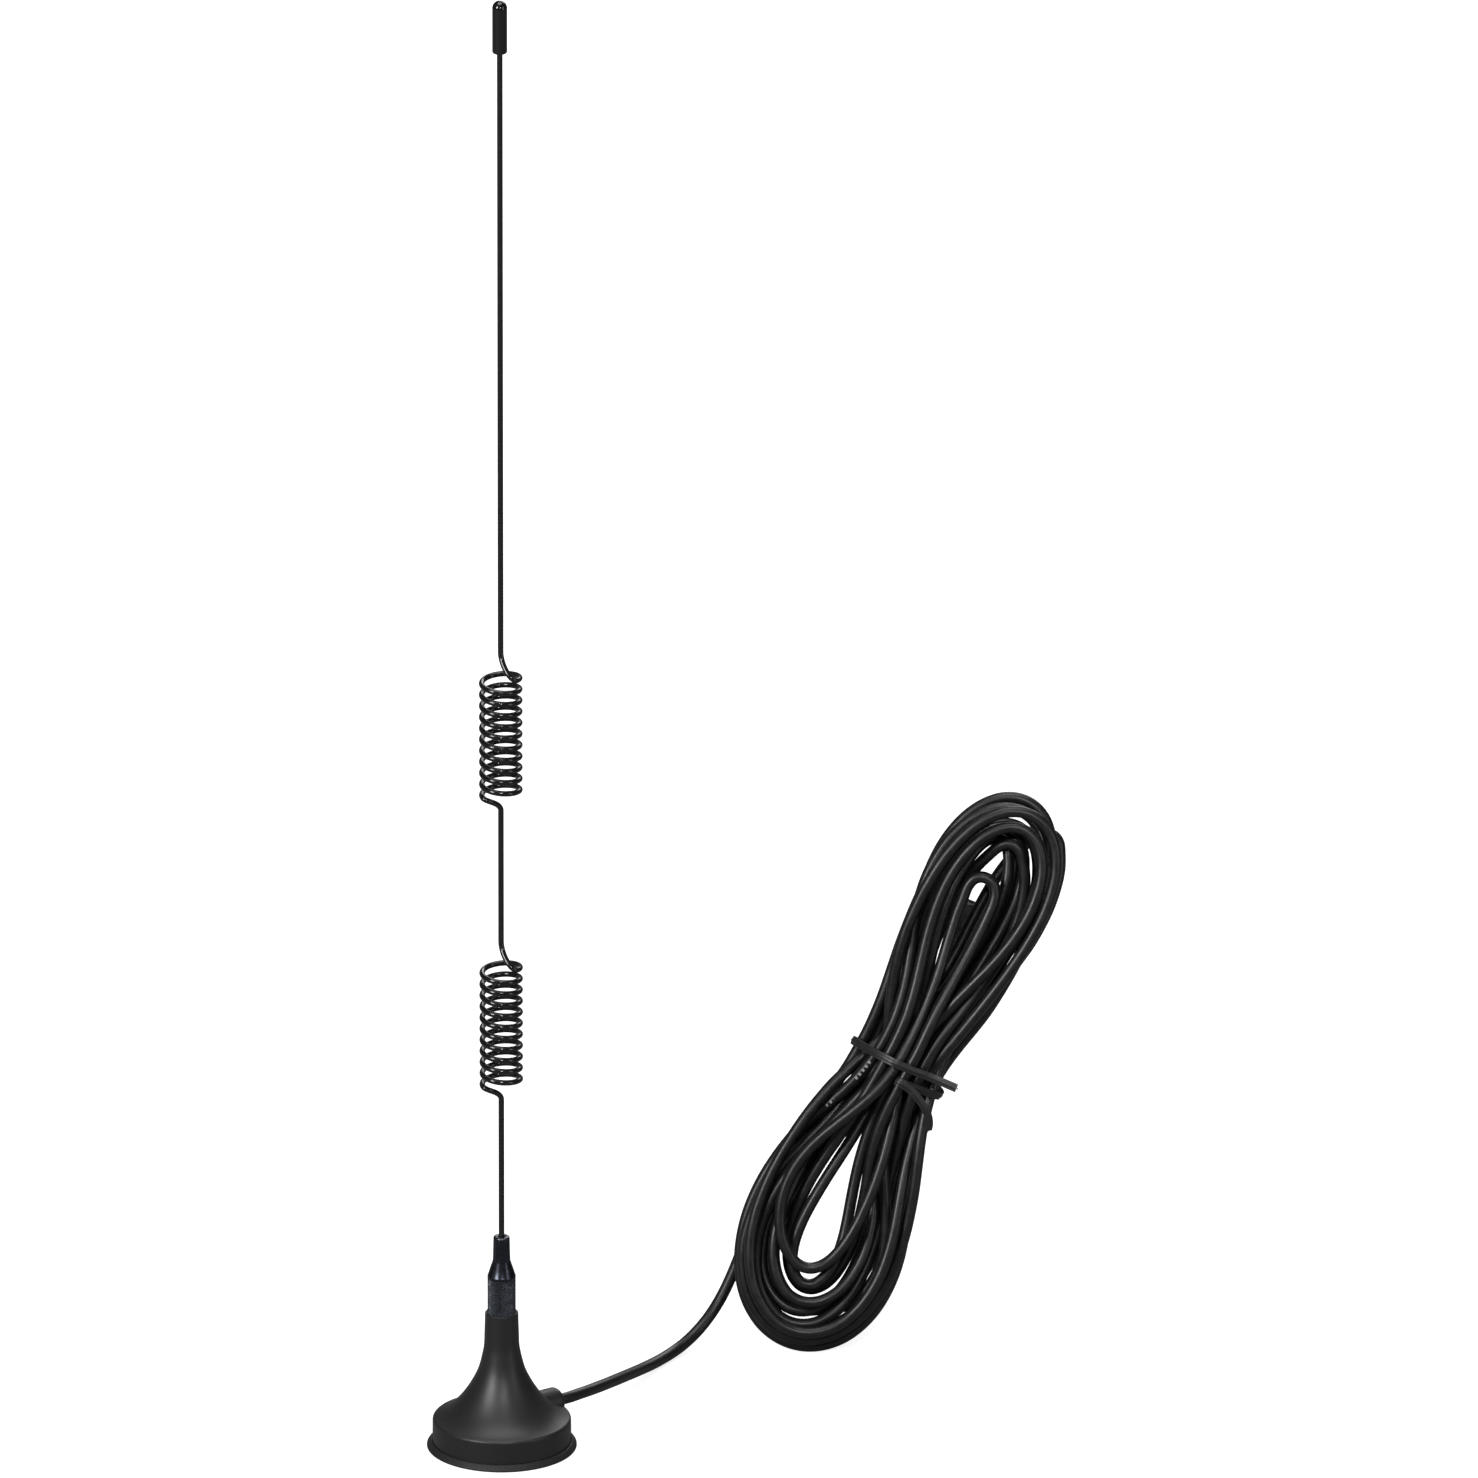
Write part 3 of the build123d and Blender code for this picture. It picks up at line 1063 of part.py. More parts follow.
106.761 65.460 91.451 -.34358 -.26265 -.90165
100.703 62.952 81.523 -.62863 -.15383 -.76234
91.745 61.577 71.985 -.69005 -.07441 -.71992
89.572 61.332 69.632 -.66093 -.07834 -.74635
87.994 61.114 67.857 -.67062 -.11254 -.73321
85.285 60.515 64.913 -.65739 -.17198 -.73366
81.899 59.545 60.964 -.62094 -.20259 -.75723
80.937 59.222 59.780 -.60896 -.20669 -.76580
79.550 58.775 57.887 -.54754 -.16434 -.82048
76.909 57.967 53.364 -.45757 -.14870 -.87665
74.715 57.222 48.598 -.37544 -.14445 -.91552
73.303 56.620 44.848 -.32504 -.15327 -.93320
71.343 55.384 38.294 -.23849 -.20786 -.94864
70.896 54.958 36.422 -.21565 -.22429 -.95036
70.574 54.599 34.943 -.20023 -.23634 -.95082
69.882 53.689 31.500 -.17986 -.26210 -.94813
69.607 53.278 30.027 -.17533 -.26794 -.94735
67.361 50.625 21.263 -.34887 -.28423 -.89303
64.780 49.207 16.890 -.65931 -.23716 -.71349
60.985 48.582 15.177 -.98639 .01830 .16342
58.821 48.906 16.622 -.51998 .20057 .83030
58.151 49.344 18.382 -.19672 .24137 .95028
58.135 50.159 21.875 .14704 .20633 .96737
60.146 51.589 27.910 .42264 .22898 .87690
62.642 52.920 32.394 .49903 .27661 .82125
65.184 54.352 36.311 .53817 .30871 .78426
67.154 55.514 39.139 .54360 .32855 .77237
68.002 56.031 40.341 .54358 .33328 .77036
73.817 59.764 49.565 .42732 .28557 .85782
75.434 60.956 53.553 .30098 .22788 .92600
76.350 61.689 56.987 .19302 .20239 .96009
76.810 62.050 59.716 .14240 .04645 .98872
77.213 62.315 63.293 .07967 .15639 .98448
77.398 62.855 66.025 .06591 .16450 .98417
77.572 63.152 68.376 .07858 .11119 .99069
77.879 63.506 71.543 .12010 .10106 .98761
78.077 63.656 73.075 .13262 .09236 .98685
78.777 64.052 77.450 .19337 .09092 .97690
80.030 64.604 82.555 .28895 .12352 .94934
83.362 66.118 90.811 .43432 .19650 .87906
84.056 66.430 92.172 .45584 .20326 .86654
90.904 68.944 102.116 .67248 .18615 .71633
97.624 70.228 107.183 .90447 .09934 .41481
104.223 70.417 108.208 .98051 -.06150 -.18660
108.271 69.798 106.049 .68407 -.19386 -.70318
110.833 68.177 100.086 .10113 -.26051 -.96016
109.750 65.948 91.926 -.30203 -.25251 -.91925
104.283 63.067 81.247 -.53905 -.20898 -.81594
95.824 60.637 69.809 -.61279 -.12043 -.78102
92.037 60.043 65.034 -.62103 -.07433 -.78025
89.515 59.802 61.879 -.63330 -.04603 -.77253
87.509 59.692 59.369 -.61384 -.02567 -.78901
85.794 59.623 57.156 -.59730 -.01738 -.80183
83.628 59.646 53.744 -.47664 .02005 -.87887
82.913 59.680 52.362 -.44547 .02255 -.89501
81.064 59.847 47.864 -.30196 .04167 -.95241
79.786 59.989 42.749 -.19891 .01121 -.97995
79.231 59.973 39.592 -.14805 -.02487 -.98867
79.004 59.922 38.059 -.15037 -.03882 -.98787
78.500 59.743 34.899 -.15810 -.07760 -.98437
78.187 59.566 32.965 -.16142 -.10222 -.98158
77.225 58.865 27.820 -.20791 -.16095 -.96482
73.332 56.402 16.393 -.45933 -.21481 -.86190
68.075 54.726 9.857 -.78091 -.15752 -.60446
63.040 54.107 7.537 -.98451 -.05175 -.16753
58.031 54.189 8.160 -.90796 .08955 .40937
52.243 56.154 16.098 -.19316 .24883 .94909
53.232 58.897 26.206 .33052 .25265 .90935
58.181 61.297 34.859 .59579 .21350 .77425
67.854 64.411 45.060 .70825 .24323 .66274
71.596 65.830 48.506 .70501 .29851 .64331
77.205 68.730 53.697 .65817 .41272 .62966
79.790 70.514 56.233 .62041 .46730 .62986
82.199 72.434 58.835 .58127 .51179 .63261
83.536 73.592 60.435 .52953 .42861 .73205
84.795 74.684 62.138 .54324 .53806 .64450
85.664 75.564 63.170 .52456 .51612 .67710
""", 6)

# Twist tie: position x y z, unit direction x y z, unit width direction x y z.
TIE = table("""
90.946 53.971 55.289 -.8969 .3229 .3021 .3902 .2566 .8842
90.215 54.222 55.538 -.9038 .2934 .3116 .3886 .2571 .8848
89.480 54.447 55.795 -.9100 .2619 .3214 .3868 .2577 .8854
88.739 54.646 56.059 -.9155 .2285 .3312 .3850 .2581 .8861
87.995 54.816 56.332 -.9202 .1913 .3415 .3829 .2586 .8869
87.247 54.955 56.613 -.9236 .1521 .3518 .3807 .2589 .8877
86.497 55.065 56.902 -.9255 .1163 .3605 .3787 .2592 .8885
85.746 55.135 57.200 -.9254 .0514 .3754 .3753 .2594 .8899
84.997 55.139 57.512 -.9177 -.0487 .3943 .3696 .2591 .8923
84.260 55.054 57.839 -.8998 -.1499 .4098 .3645 .2582 .8947
83.535 54.914 58.175 -.8882 -.1936 .4167 .3636 .2580 .8951
82.820 54.732 58.512 -.8731 -.2541 .4161 .3544 .2553 .8996
82.122 54.528 58.870 -.8517 -.2372 .4672 .4043 .2695 .8740
81.426 54.355 59.250 -.8690 -.1848 .4590 .4044 .2695 .8740
80.714 54.229 59.617 -.8846 -.1258 .4492 .4052 .2696 .8736
79.992 54.152 59.978 -.8954 -.0651 .4406 .4092 .2699 .8716
79.261 54.132 60.329 -.9065 .0258 .4215 .4123 .2698 .8702
78.520 54.218 60.656 -.9042 .2137 .3698 .4183 .2684 .8677
77.813 54.510 60.910 -.8371 .4798 .2628 .4239 .2652 .8660
77.146 54.935 61.107 -.8063 .5456 .2283 .4244 .2649 .8659
76.503 55.396 61.281 -.7794 .5934 .2010 .4247 .2646 .8658
75.882 55.895 61.434 -.7530 .6340 .1760 .4249 .2645 .8657
75.281 56.423 61.567 -.7280 .6682 .1533 .4250 .2644 .8657
74.701 56.978 61.682 -.7018 .7003 .1306 .4249 .2645 .8657
74.143 57.558 61.779 -.6751 .7298 .1082 .4249 .2646 .8657
73.607 58.162 61.858 -.6469 .7577 .0856 .4247 .2648 .8658
73.094 58.787 61.918 -.6170 .7845 .0623 .4244 .2651 .8658
72.606 59.434 61.959 -.5846 .8104 .0379 .4242 .2655 .8658
72.146 60.102 61.979 -.5487 .8360 .0117 .4238 .2660 .8658
71.718 60.790 61.977 -.5080 .8612 -.0170 .4233 .2668 .8658
71.324 61.499 61.950 -.4614 .8858 -.0487 .4228 .2678 .8658
70.971 62.227 61.897 -.4089 .9088 -.0831 .4222 .2691 .8656
70.662 62.973 61.815 -.3512 .9286 -.1195 .4216 .2708 .8654
70.403 63.732 61.702 -.2848 .9452 -.1599 .4209 .2732 .8650
70.206 64.506 61.553 -.1965 .9578 -.2100 .4203 .2758 .8645
70.135 65.285 61.333 .0783 .9324 -.3529 .4216 .2898 .8592
70.348 65.982 60.982 .3941 .7829 -.4815 .4298 .3061 .8495
70.719 66.581 60.573 .4994 .6962 -.5157 .4350 .3133 .8442
71.141 67.129 60.151 .5368 .6597 -.5259 .4370 .3158 .8422
71.589 67.650 59.721 .5686 .6258 -.5340 .4391 .3180 .8403
72.062 68.145 59.285 .5951 .5952 -.5400 .4410 .3200 .8386
72.554 68.616 58.845 .6185 .5662 -.5449 .4428 .3217 .8369
73.064 69.064 58.402 .6403 .5373 -.5489 .4448 .3233 .8353
73.592 69.488 57.955 .6608 .5083 -.5522 .4467 .3248 .8336
74.136 69.888 57.506 .6804 .4788 -.5548 .4488 .3263 .8319
74.696 70.264 57.055 .6991 .4485 -.5568 .4510 .3277 .8302
75.270 70.615 56.603 .7173 .4171 -.5582 .4533 .3290 .8284
75.859 70.940 56.150 .7353 .3835 -.5589 .4559 .3303 .8265
76.463 71.237 55.697 .7526 .3485 -.5588 .4586 .3316 .8245
77.081 71.503 55.244 .7720 .3051 -.5577 .4622 .3330 .8219
77.714 71.729 54.793 .7919 .2550 -.5549 .4663 .3343 .8190
78.368 71.916 54.342 .8193 .1716 -.5471 .4734 .3358 .8143
79.054 71.927 53.921 .8614 -.1664 -.4798 .5072 .3296 .7963
79.748 71.694 53.560 .8341 -.3683 -.4106 .5285 .3204 .7862
80.414 71.359 53.243 .8118 -.4449 -.3781 .5373 .3156 .7821
81.066 70.982 52.943 .7976 -.4840 -.3600 .5419 .3129 .7800
81.707 70.574 52.659 .7816 -.5222 -.3412 .5465 .3098 .7780
82.335 70.137 52.389 .7665 -.5543 -.3244 .5505 .3069 .7764
82.950 69.675 52.133 .7506 -.5847 -.3077 .5544 .3039 .7748
83.552 69.189 51.890 .7339 -.6138 -.2909 .5581 .3008 .7733
84.140 68.680 51.661 .7163 -.6418 -.2739 .5618 .2975 .7719
84.714 68.148 51.446 .6972 -.6695 -.2562 .5655 .2940 .7706
85.271 67.594 51.246 .6768 -.6967 -.2379 .5692 .2902 .7693
85.811 67.018 51.061 .6534 -.7250 -.2177 .5731 .2858 .7680
86.329 66.417 50.894 .6250 -.7560 -.1941 .5775 .2806 .7667
86.826 65.793 50.745 .5948 -.7857 -.1698 .5817 .2750 .7655
87.272 65.124 50.635 .4859 -.8695 -.0888 .5938 .2538 .7635
87.593 64.379 50.612 .2909 -.9560 .0392 .6059 .2157 .7657
87.760 63.589 50.685 .1502 -.9811 .1223 .6102 .1893 .7693
87.867 62.791 50.793 .1094 -.9834 .1445 .6111 .1812 .7705
87.933 61.994 50.923 .0545 -.9832 .1742 .6117 .1707 .7724
87.958 61.197 51.074 .0074 -.9800 .1987 .6118 .1616 .7743
87.942 60.405 51.246 -.0475 -.9729 .2263 .6113 .1508 .7769
87.886 59.619 51.439 -.0901 -.9647 .2473 .6106 .1427 .7790
87.767 58.848 51.661 -.2291 -.9225 .3106 .6041 .1154 .7885
87.489 58.141 51.951 -.4547 -.7967 .3982 .5809 .0736 .8106
87.040 57.565 52.298 -.6218 -.6426 .4476 .5531 .0443 .8319
86.519 57.060 52.666 -.6530 -.6060 .4542 .5465 .0382 .8366
85.977 56.585 53.036 -.6863 -.5628 .4607 .5389 .0319 .8418
85.409 56.145 53.412 -.7126 -.5255 .4648 .5322 .0269 .8462
84.822 55.733 53.790 -.7355 -.4903 .4677 .5257 .0226 .8504
84.216 55.350 54.170 -.7568 -.4545 .4697 .5192 .0186 .8545
83.594 54.995 54.552 -.7767 -.4186 .4706 .5123 .0149 .8587
82.957 54.671 54.934 -.7955 -.3813 .4709 .5052 .0115 .8629
82.304 54.377 55.316 -.8129 -.3424 .4711 .4986 .0087 .8668
81.636 54.117 55.695 -.8343 -.2995 .4629 .4842 .0035 .8749
80.958 53.890 56.077 -.8337 -.2598 .4873 .5024 .0092 .8646
80.285 53.684 56.478 -.8291 -.2584 .4959 .5106 .0117 .8598
79.605 53.476 56.880 -.8341 -.2550 .4891 .5036 .0096 .8639
79.011 53.113 57.280 -.4875 -.7433 .4580 .5793 .1171 .8067
78.913 52.364 57.535 .2537 -.9598 .1200 .5507 .2453 .7978
79.379 51.723 57.454 .8089 -.5040 -.3028 .4874 .2867 .8248
80.086 51.634 57.096 .8301 .1552 -.5356 .4814 .2856 .8287
80.711 51.811 56.610 .7228 .2470 -.6454 .5694 .3165 .7587
81.287 51.988 56.067 .7036 .1772 -.6882 .6168 .3288 .7152
81.850 52.101 55.493 .6812 .1050 -.7245 .6614 .3362 .6705
82.390 52.163 54.891 .6496 .0507 -.7586 .7030 .3400 .6247
82.905 52.190 54.264 .6198 .0184 -.7846 .7337 .3412 .5876
83.397 52.198 53.618 .5903 .0054 -.8072 .7575 .3417 .5563
83.860 52.201 52.952 .5500 .0028 -.8351 .7842 .3422 .5176
84.286 52.206 52.262 .4973 .0099 -.8675 .8131 .3433 .4701
84.664 52.219 51.543 .4318 .0242 -.9016 .8427 .3456 .4129
84.984 52.247 50.797 .3525 .0445 -.9348 .8710 .3498 .3451
85.233 52.293 50.024 .2584 .0679 -.9636 .8957 .3568 .2653
85.400 52.355 49.230 .1486 .0840 -.9853 .9148 .3668 .1693
85.471 52.427 48.425 .0213 .0917 -.9956 .9234 .3799 .0548
85.430 52.501 47.619 -.1230 .0903 -.9883 .9152 .3955 -.0778
85.266 52.571 46.820 -.2798 .0792 -.9568 .8831 .4121 -.2241
""", 9)

# ---------------------------------------------------------------- build
PIECES = (
    base_housing, rubber_foot, magnet_cup, magnet, ground_plate, feed_stud, seal_ring,
    feed_solder, ground_solder, whip_ferrule, whip_wire, tip_cap,
    coax_jacket, coax_braid, coax_dielectric, coax_conductor,
    twist_tie_ribbon, twist_tie_wire,
)
PLUG_PIECES = (
    heat_shrink, crimp_ferrule, sma_body, sma_snap_ring, sma_coupling_nut, sma_gasket,
    sma_insulator, sma_centre_pin,
)

for piece in PIECES:
    save(piece.__name__, piece())

plug_side = unit(np.cross([0, 0, 1.0], PLUG_AXIS))
plug_plane = Plane(
    origin=Vector(*PLUG_ORIGIN), x_dir=Vector(*plug_side), z_dir=Vector(*PLUG_AXIS)
)
for piece in PLUG_PIECES:
    save(piece.__name__, plug_plane.location * piece())
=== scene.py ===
# Whip antenna on a round magnetic base, with its coax cable hanked and tied beside it.
# The base and whip stand on the z axis with the foot on z = 0. The cable leaves the base
# between +x and +y; its upright hank and the plug on its end stand at x 48..112, y 45..82.
# The camera looks along +y, a little downwards. Sizes are in millimetres unless noted;
# meshes are scaled to metres when they are made.
import math

import bmesh
import bpy
import numpy as np
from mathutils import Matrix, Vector


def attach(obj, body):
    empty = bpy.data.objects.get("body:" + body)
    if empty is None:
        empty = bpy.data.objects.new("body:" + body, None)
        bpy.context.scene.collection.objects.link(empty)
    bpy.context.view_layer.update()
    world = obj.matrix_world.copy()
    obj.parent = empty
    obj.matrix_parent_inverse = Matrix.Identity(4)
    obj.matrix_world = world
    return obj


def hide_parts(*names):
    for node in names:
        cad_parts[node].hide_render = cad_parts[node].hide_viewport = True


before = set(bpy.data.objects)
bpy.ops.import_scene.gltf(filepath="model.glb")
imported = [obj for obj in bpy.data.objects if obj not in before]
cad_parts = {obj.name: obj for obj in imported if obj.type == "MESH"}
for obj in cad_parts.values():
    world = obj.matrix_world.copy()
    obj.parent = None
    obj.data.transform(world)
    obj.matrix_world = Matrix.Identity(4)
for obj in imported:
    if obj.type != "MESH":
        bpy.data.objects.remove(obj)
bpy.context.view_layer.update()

MM = 0.001


# ------------------------------------------------------------------ geometry helpers
def unit(vectors):
    """One vector, or each row of an array, at length 1."""
    vectors = np.asarray(vectors, float)
    return vectors / np.linalg.norm(vectors, axis=-1, keepdims=True)


def across(axis):
    """Two unit directions square to an axis and to each other."""
    x = unit(np.cross(axis, (0, 1, 0)))
    return x, np.cross(axis, x)


def table(text, columns):
    return np.array(text.split(), float).reshape(-1, columns)


def distances(points):
    """Distance of each point along a chain of points."""
    return np.r_[0, np.cumsum(np.linalg.norm(np.diff(points, axis=0), axis=1))]


def hermite(x, start, start_slope, end, end_slope):
    """Cubic from start (x = 0) to end (x = 1)."""
    return (
        (2 * x**3 - 3 * x**2 + 1) * start
        + (x**3 - 2 * x**2 + x) * start_slope
        + (-2 * x**3 + 3 * x**2) * end
        + (x**3 - x**2) * end_slope
    )


def arc_points(start, heading, end, step):
    """Points and headings of the arc that leaves start along heading and meets end."""
    chord = end - start
    ahead = chord @ heading
    sideways = chord - ahead * heading
    offset = np.linalg.norm(sideways)
    if offset < 2e-5:
        count = max(2, int(np.linalg.norm(chord) / step) + 1)
        share = np.linspace(0, 1, count)[:, None]
        return start + share * chord, np.repeat(heading[None], count, 0)
    normal = sideways / offset
    radius = (chord @ chord) / (2 * offset)
    sweep = 2 * math.atan2(offset, ahead)
    widest_turn = 0.12  # radians between points
    count = max(2, int(abs(radius * sweep) / step) + 1, int(abs(sweep) / widest_turn) + 1)
    angle = np.linspace(0, 1, count)[:, None] * sweep
    return (
        start + radius * np.sin(angle) * heading + radius * (1 - np.cos(angle)) * normal,
        np.cos(angle) * heading + np.sin(angle) * normal,
    )


def centre_line(stations, headings, step):
    """Dense points and headings of a line with two arcs between each pair of stations."""
    line, along = [], []
    for start, start_dir, end, end_dir in zip(
        stations[:-1], headings[:-1], stations[1:], headings[1:]
    ):
        # reach is the tangent length that lets the two arcs meet smoothly
        chord = end - start
        both = start_dir + end_dir
        bend = 2 * (1 - start_dir @ end_dir)
        if bend < 1e-10:
            reach = (chord @ chord) / (4 * (chord @ end_dir))
        else:
            pull = chord @ both
            reach = (-pull + math.sqrt(pull * pull + bend * (chord @ chord))) / bend
        middle = ((start + reach * start_dir) + (end - reach * end_dir)) / 2
        to_middle = unit(middle - start)
        middle_dir = unit(2 * (to_middle @ start_dir) * to_middle - start_dir)
        for points, dirs in (
            arc_points(start, start_dir, middle, step),
            arc_points(middle, middle_dir, end, step),
        ):
            line.append(points[:-1])
            along.append(dirs[:-1])
    line.append(stations[-1][None])
    along.append(headings[-1][None])
    return np.vstack(line), unit(np.vstack(along))


def line_spokes(headings, sides):
    """Ring angles, and unit spokes round each line point carried along without twist."""
    side = np.array((1.0, 0.0, 0.0) if abs(headings[0][2]) > 0.9 else (0.0, 0.0, 1.0))
    carried = np.zeros_like(headings)
    for i, heading in enumerate(headings):
        side = unit(side - (side @ heading) * heading)
        carried[i] = side
    square = np.cross(headings, carried)
    angle = np.linspace(0, 2 * np.pi, sides, endpoint=False)
    cosine, sine = np.cos(angle)[None, :, None], np.sin(angle)[None, :, None]
    return angle, cosine * carried[:, None] + sine * square[:, None]


def straight(start, end, step):
    """Evenly split straight run of (radius, z) profile points, both ends included."""
    (r0, z0), (r1, z1) = start, end
    n = max(1, int(math.hypot(r1 - r0, z1 - z0) / step))
    return [(r0 + (r1 - r0) * k / n, z0 + (z1 - z0) * k / n) for k in range(n + 1)]


# ------------------------------------------------------------------ mesh helpers
def bands(rings):
    """Faces between successive rings of point numbers; a ring of one is a centre point."""
    faces = []
    for low, high in zip(rings, rings[1:]):
        count = max(len(low), len(high))
        for k in range(count):
            after = (k + 1) % count
            if len(low) == 1:
                faces.append((low[0], high[after], high[k]))
            elif len(high) == 1:
                faces.append((low[k], low[after], high[0]))
            else:
                faces.append((low[k], low[after], high[after], high[k]))
    return faces


def new_object(name, points, faces, lay=None):
    """Smooth mesh object from points in mm; lay becomes a vector attribute."""
    mesh = bpy.data.meshes.new(name)
    mesh.from_pydata((np.asarray(points) * MM).tolist(), [], [tuple(map(int, f)) for f in faces])
    mesh.validate()
    mesh.polygons.foreach_set("use_smooth", [True] * len(mesh.polygons))
    if lay is not None:
        attribute = mesh.attributes.new("lay", "FLOAT_VECTOR", "POINT")
        attribute.data.foreach_set("vector", np.asarray(lay, np.float32).ravel())
    mesh.update()
    ob = bpy.data.objects.new(name, mesh)
    bpy.context.scene.collection.objects.link(ob)
    return ob


def face_outward(ob):
    work = bmesh.new()
    work.from_mesh(ob.data)
    bmesh.ops.recalc_face_normals(work, faces=work.faces)
    work.to_mesh(ob.data)
    work.free()
    ob.data.update()


def crease(ob, degrees):
    """Mark edges that turn by more than an angle as sharp."""
    work = bmesh.new()
    work.from_mesh(ob.data)
    for edge in work.edges:
        if len(edge.link_faces) == 2 and edge.calc_face_angle(0.0) > math.radians(degrees):
            edge.smooth = False
    work.to_mesh(ob.data)
    work.free()
    ob.data.update()


def tube(name, line, headings, radius, sides, swell=np.zeros_like):
    """Solid round tube; "lay" holds ring cosine, ring sine and distance along the line.
    swell gives the share added to the radius at each distance."""
    angle, spokes = line_spokes(headings, sides)
    along = distances(line)
    radii = radius * (1 + swell(along))

    def lay_ring(distance):
        return np.column_stack([np.cos(angle), np.sin(angle), np.full(sides, distance)])

    points = list(line[:, None] + radii[:, None, None] * spokes)
    lay = [lay_ring(distance) for distance in along]
    body = np.arange(len(line) * sides).reshape(-1, sides)
    faces = bands(body)
    count = body.size
    # flat ends: three shrinking rings and a centre point
    for end in (0, -1):
        rings = [body[end]]
        for inset in (0.35, 0.7, 0.92):
            points.append(line[end] + radii[end] * (1 - inset) * spokes[end])
            lay.append(lay_ring(along[end]))
            rings.append(range(count, count + sides))
            count += sides
        points.append(line[end][None])
        lay.append([(0.0, 0.0, along[end])])
        rings.append([count])
        count += 1
        faces += bands(rings if end else rings[::-1])
    return new_object(name, np.vstack(points), faces, lay=np.vstack(lay))


def pipe(name, line, headings, outer, inner, sides):
    """Hollow tube with flat ends."""
    spokes = line_spokes(headings, sides)[1]
    points = [(line[:, None] + radius * spokes).reshape(-1, 3) for radius in (outer, inner)]
    outside, inside = np.arange(2 * len(line) * sides).reshape(2, -1, sides)
    ob = new_object(name, np.vstack(points), bands([*outside, *inside[::-1], outside[0]]))
    crease(ob, 60)
    return ob


def turned(name, profile, segments, crease_degrees, origin=(0, 0, 0), axis=(0, 0, 1),
           shift=lambda angle, radius, z: 0.0):
    """Turned shell from (radius, z) points going round the section.
    A row at radius 0 is one point; shift gives a change of radius at each angle."""
    origin, axis = np.asarray(origin, float), np.asarray(axis, float)
    x, y = across(axis)
    angle = np.linspace(0, 2 * np.pi, segments, endpoint=False)
    spokes = np.cos(angle)[:, None] * x + np.sin(angle)[:, None] * y
    points, rings = [], []
    for radius, z in profile:
        centre = origin + axis * z
        count = len(points)
        if radius < 1e-6:
            points.append(centre)
            rings.append([count])
            continue
        radii = np.full(segments, radius) + shift(angle, radius, z)
        points.extend(centre + radii[:, None] * spokes)
        rings.append(range(count, count + segments))
    if len(rings[0]) > 1 and len(rings[-1]) > 1:
        rings.append(rings[0])
    ob = new_object(name, points, bands(rings))
    face_outward(ob)
    crease(ob, crease_degrees)
    return ob


def bar(name, sections, crease_degrees):
    """Closed bar through sections of equal point count."""
    count, sides = sections.shape[:2]
    rings = np.arange(count * sides).reshape(count, sides)
    faces = [*bands(rings), rings[0][::-1], rings[-1]]
    ob = new_object(name, sections.reshape(-1, 3), faces)
    face_outward(ob)
    crease(ob, crease_degrees)
    return ob


# ------------------------------------------------------------------ shader helpers
def tint(colour, gain, lift=0.0):
    return tuple(min(1.0, x * gain + lift) for x in colour)


class Graph:
    """Node tree under construction; a node input is given a number or another socket."""

    def __init__(self, owner):
        owner.use_nodes = True
        self.tree = owner.node_tree
        self.tree.nodes.clear()

    def node(self, kind, inputs=None, **settings):
        made = self.tree.nodes.new(kind)
        for key, setting in settings.items():
            setattr(made, key, setting)
        for key, given in (inputs or {}).items():
            if isinstance(given, bpy.types.NodeSocket):
                self.tree.links.new(given, made.inputs[key])
            else:
                made.inputs[key].default_value = given
        return made

    def math(self, operation, a, b=None):
        inputs = {0: a} if b is None else {0: a, 1: b}
        return self.node("ShaderNodeMath", inputs, operation=operation).outputs[0]

    def noise(self, coord, scale, detail=4.0, rough=0.55):
        inputs = {"Vector": coord, "Scale": scale, "Detail": detail, "Roughness": rough}
        return self.node("ShaderNodeTexNoise", inputs).outputs["Fac"]

    def remap(self, value, to, span=(0.3, 0.7)):
        inputs = dict(enumerate((value, *span, *to)))
        return self.node("ShaderNodeMapRange", inputs).outputs[0]

    def mix(self, share, first, second):
        """Colour between two, each an RGB tuple or a socket."""
        ends = [(*c, 1.0) if isinstance(c, tuple) else c for c in (first, second)]
        inputs = {0: share, 6: ends[0], 7: ends[1]}
        return self.node("ShaderNodeMix", inputs, data_type="RGBA").outputs[2]

    def bump(self, height, strength, depth, under=None):
        """Bump of a depth in mm, over another bump where one is given."""
        inputs = {"Height": height, "Strength": strength, "Distance": depth * MM}
        if under is not None:
            inputs["Normal"] = under
        return self.node("ShaderNodeBump", inputs).outputs[0]

    def mapping(self, vector, scale):
        return self.node("ShaderNodeMapping", {"Vector": vector, "Scale": scale}).outputs[0]

    def coords(self, scale=(1000.0, 1000.0, 1000.0)):
        """Object coordinates, in millimetres at the plain scale."""
        return self.mapping(self.node("ShaderNodeTexCoord").outputs["Object"], scale)

    def edge_wear(self, amount):
        """Share of wear on convex edges."""
        pointiness = self.node("ShaderNodeNewGeometry").outputs["Pointiness"]
        return self.math("MULTIPLY", self.remap(pointiness, span=(0.515, 0.56), to=(0.0, 1.0)),
                         amount)

    def specks(self, pattern, span, amount):
        """The peaks of a pattern, as a share up to amount."""
        return self.math("MULTIPLY", self.remap(pattern, span=span, to=(0.0, 1.0)), amount)

    def surface(self, inputs):
        bsdf = self.node("ShaderNodeBsdfPrincipled", inputs)
        self.node("ShaderNodeOutputMaterial", {0: bsdf.outputs[0]})


def new_material(name):
    made = bpy.data.materials.new(name)
    return made, Graph(made)


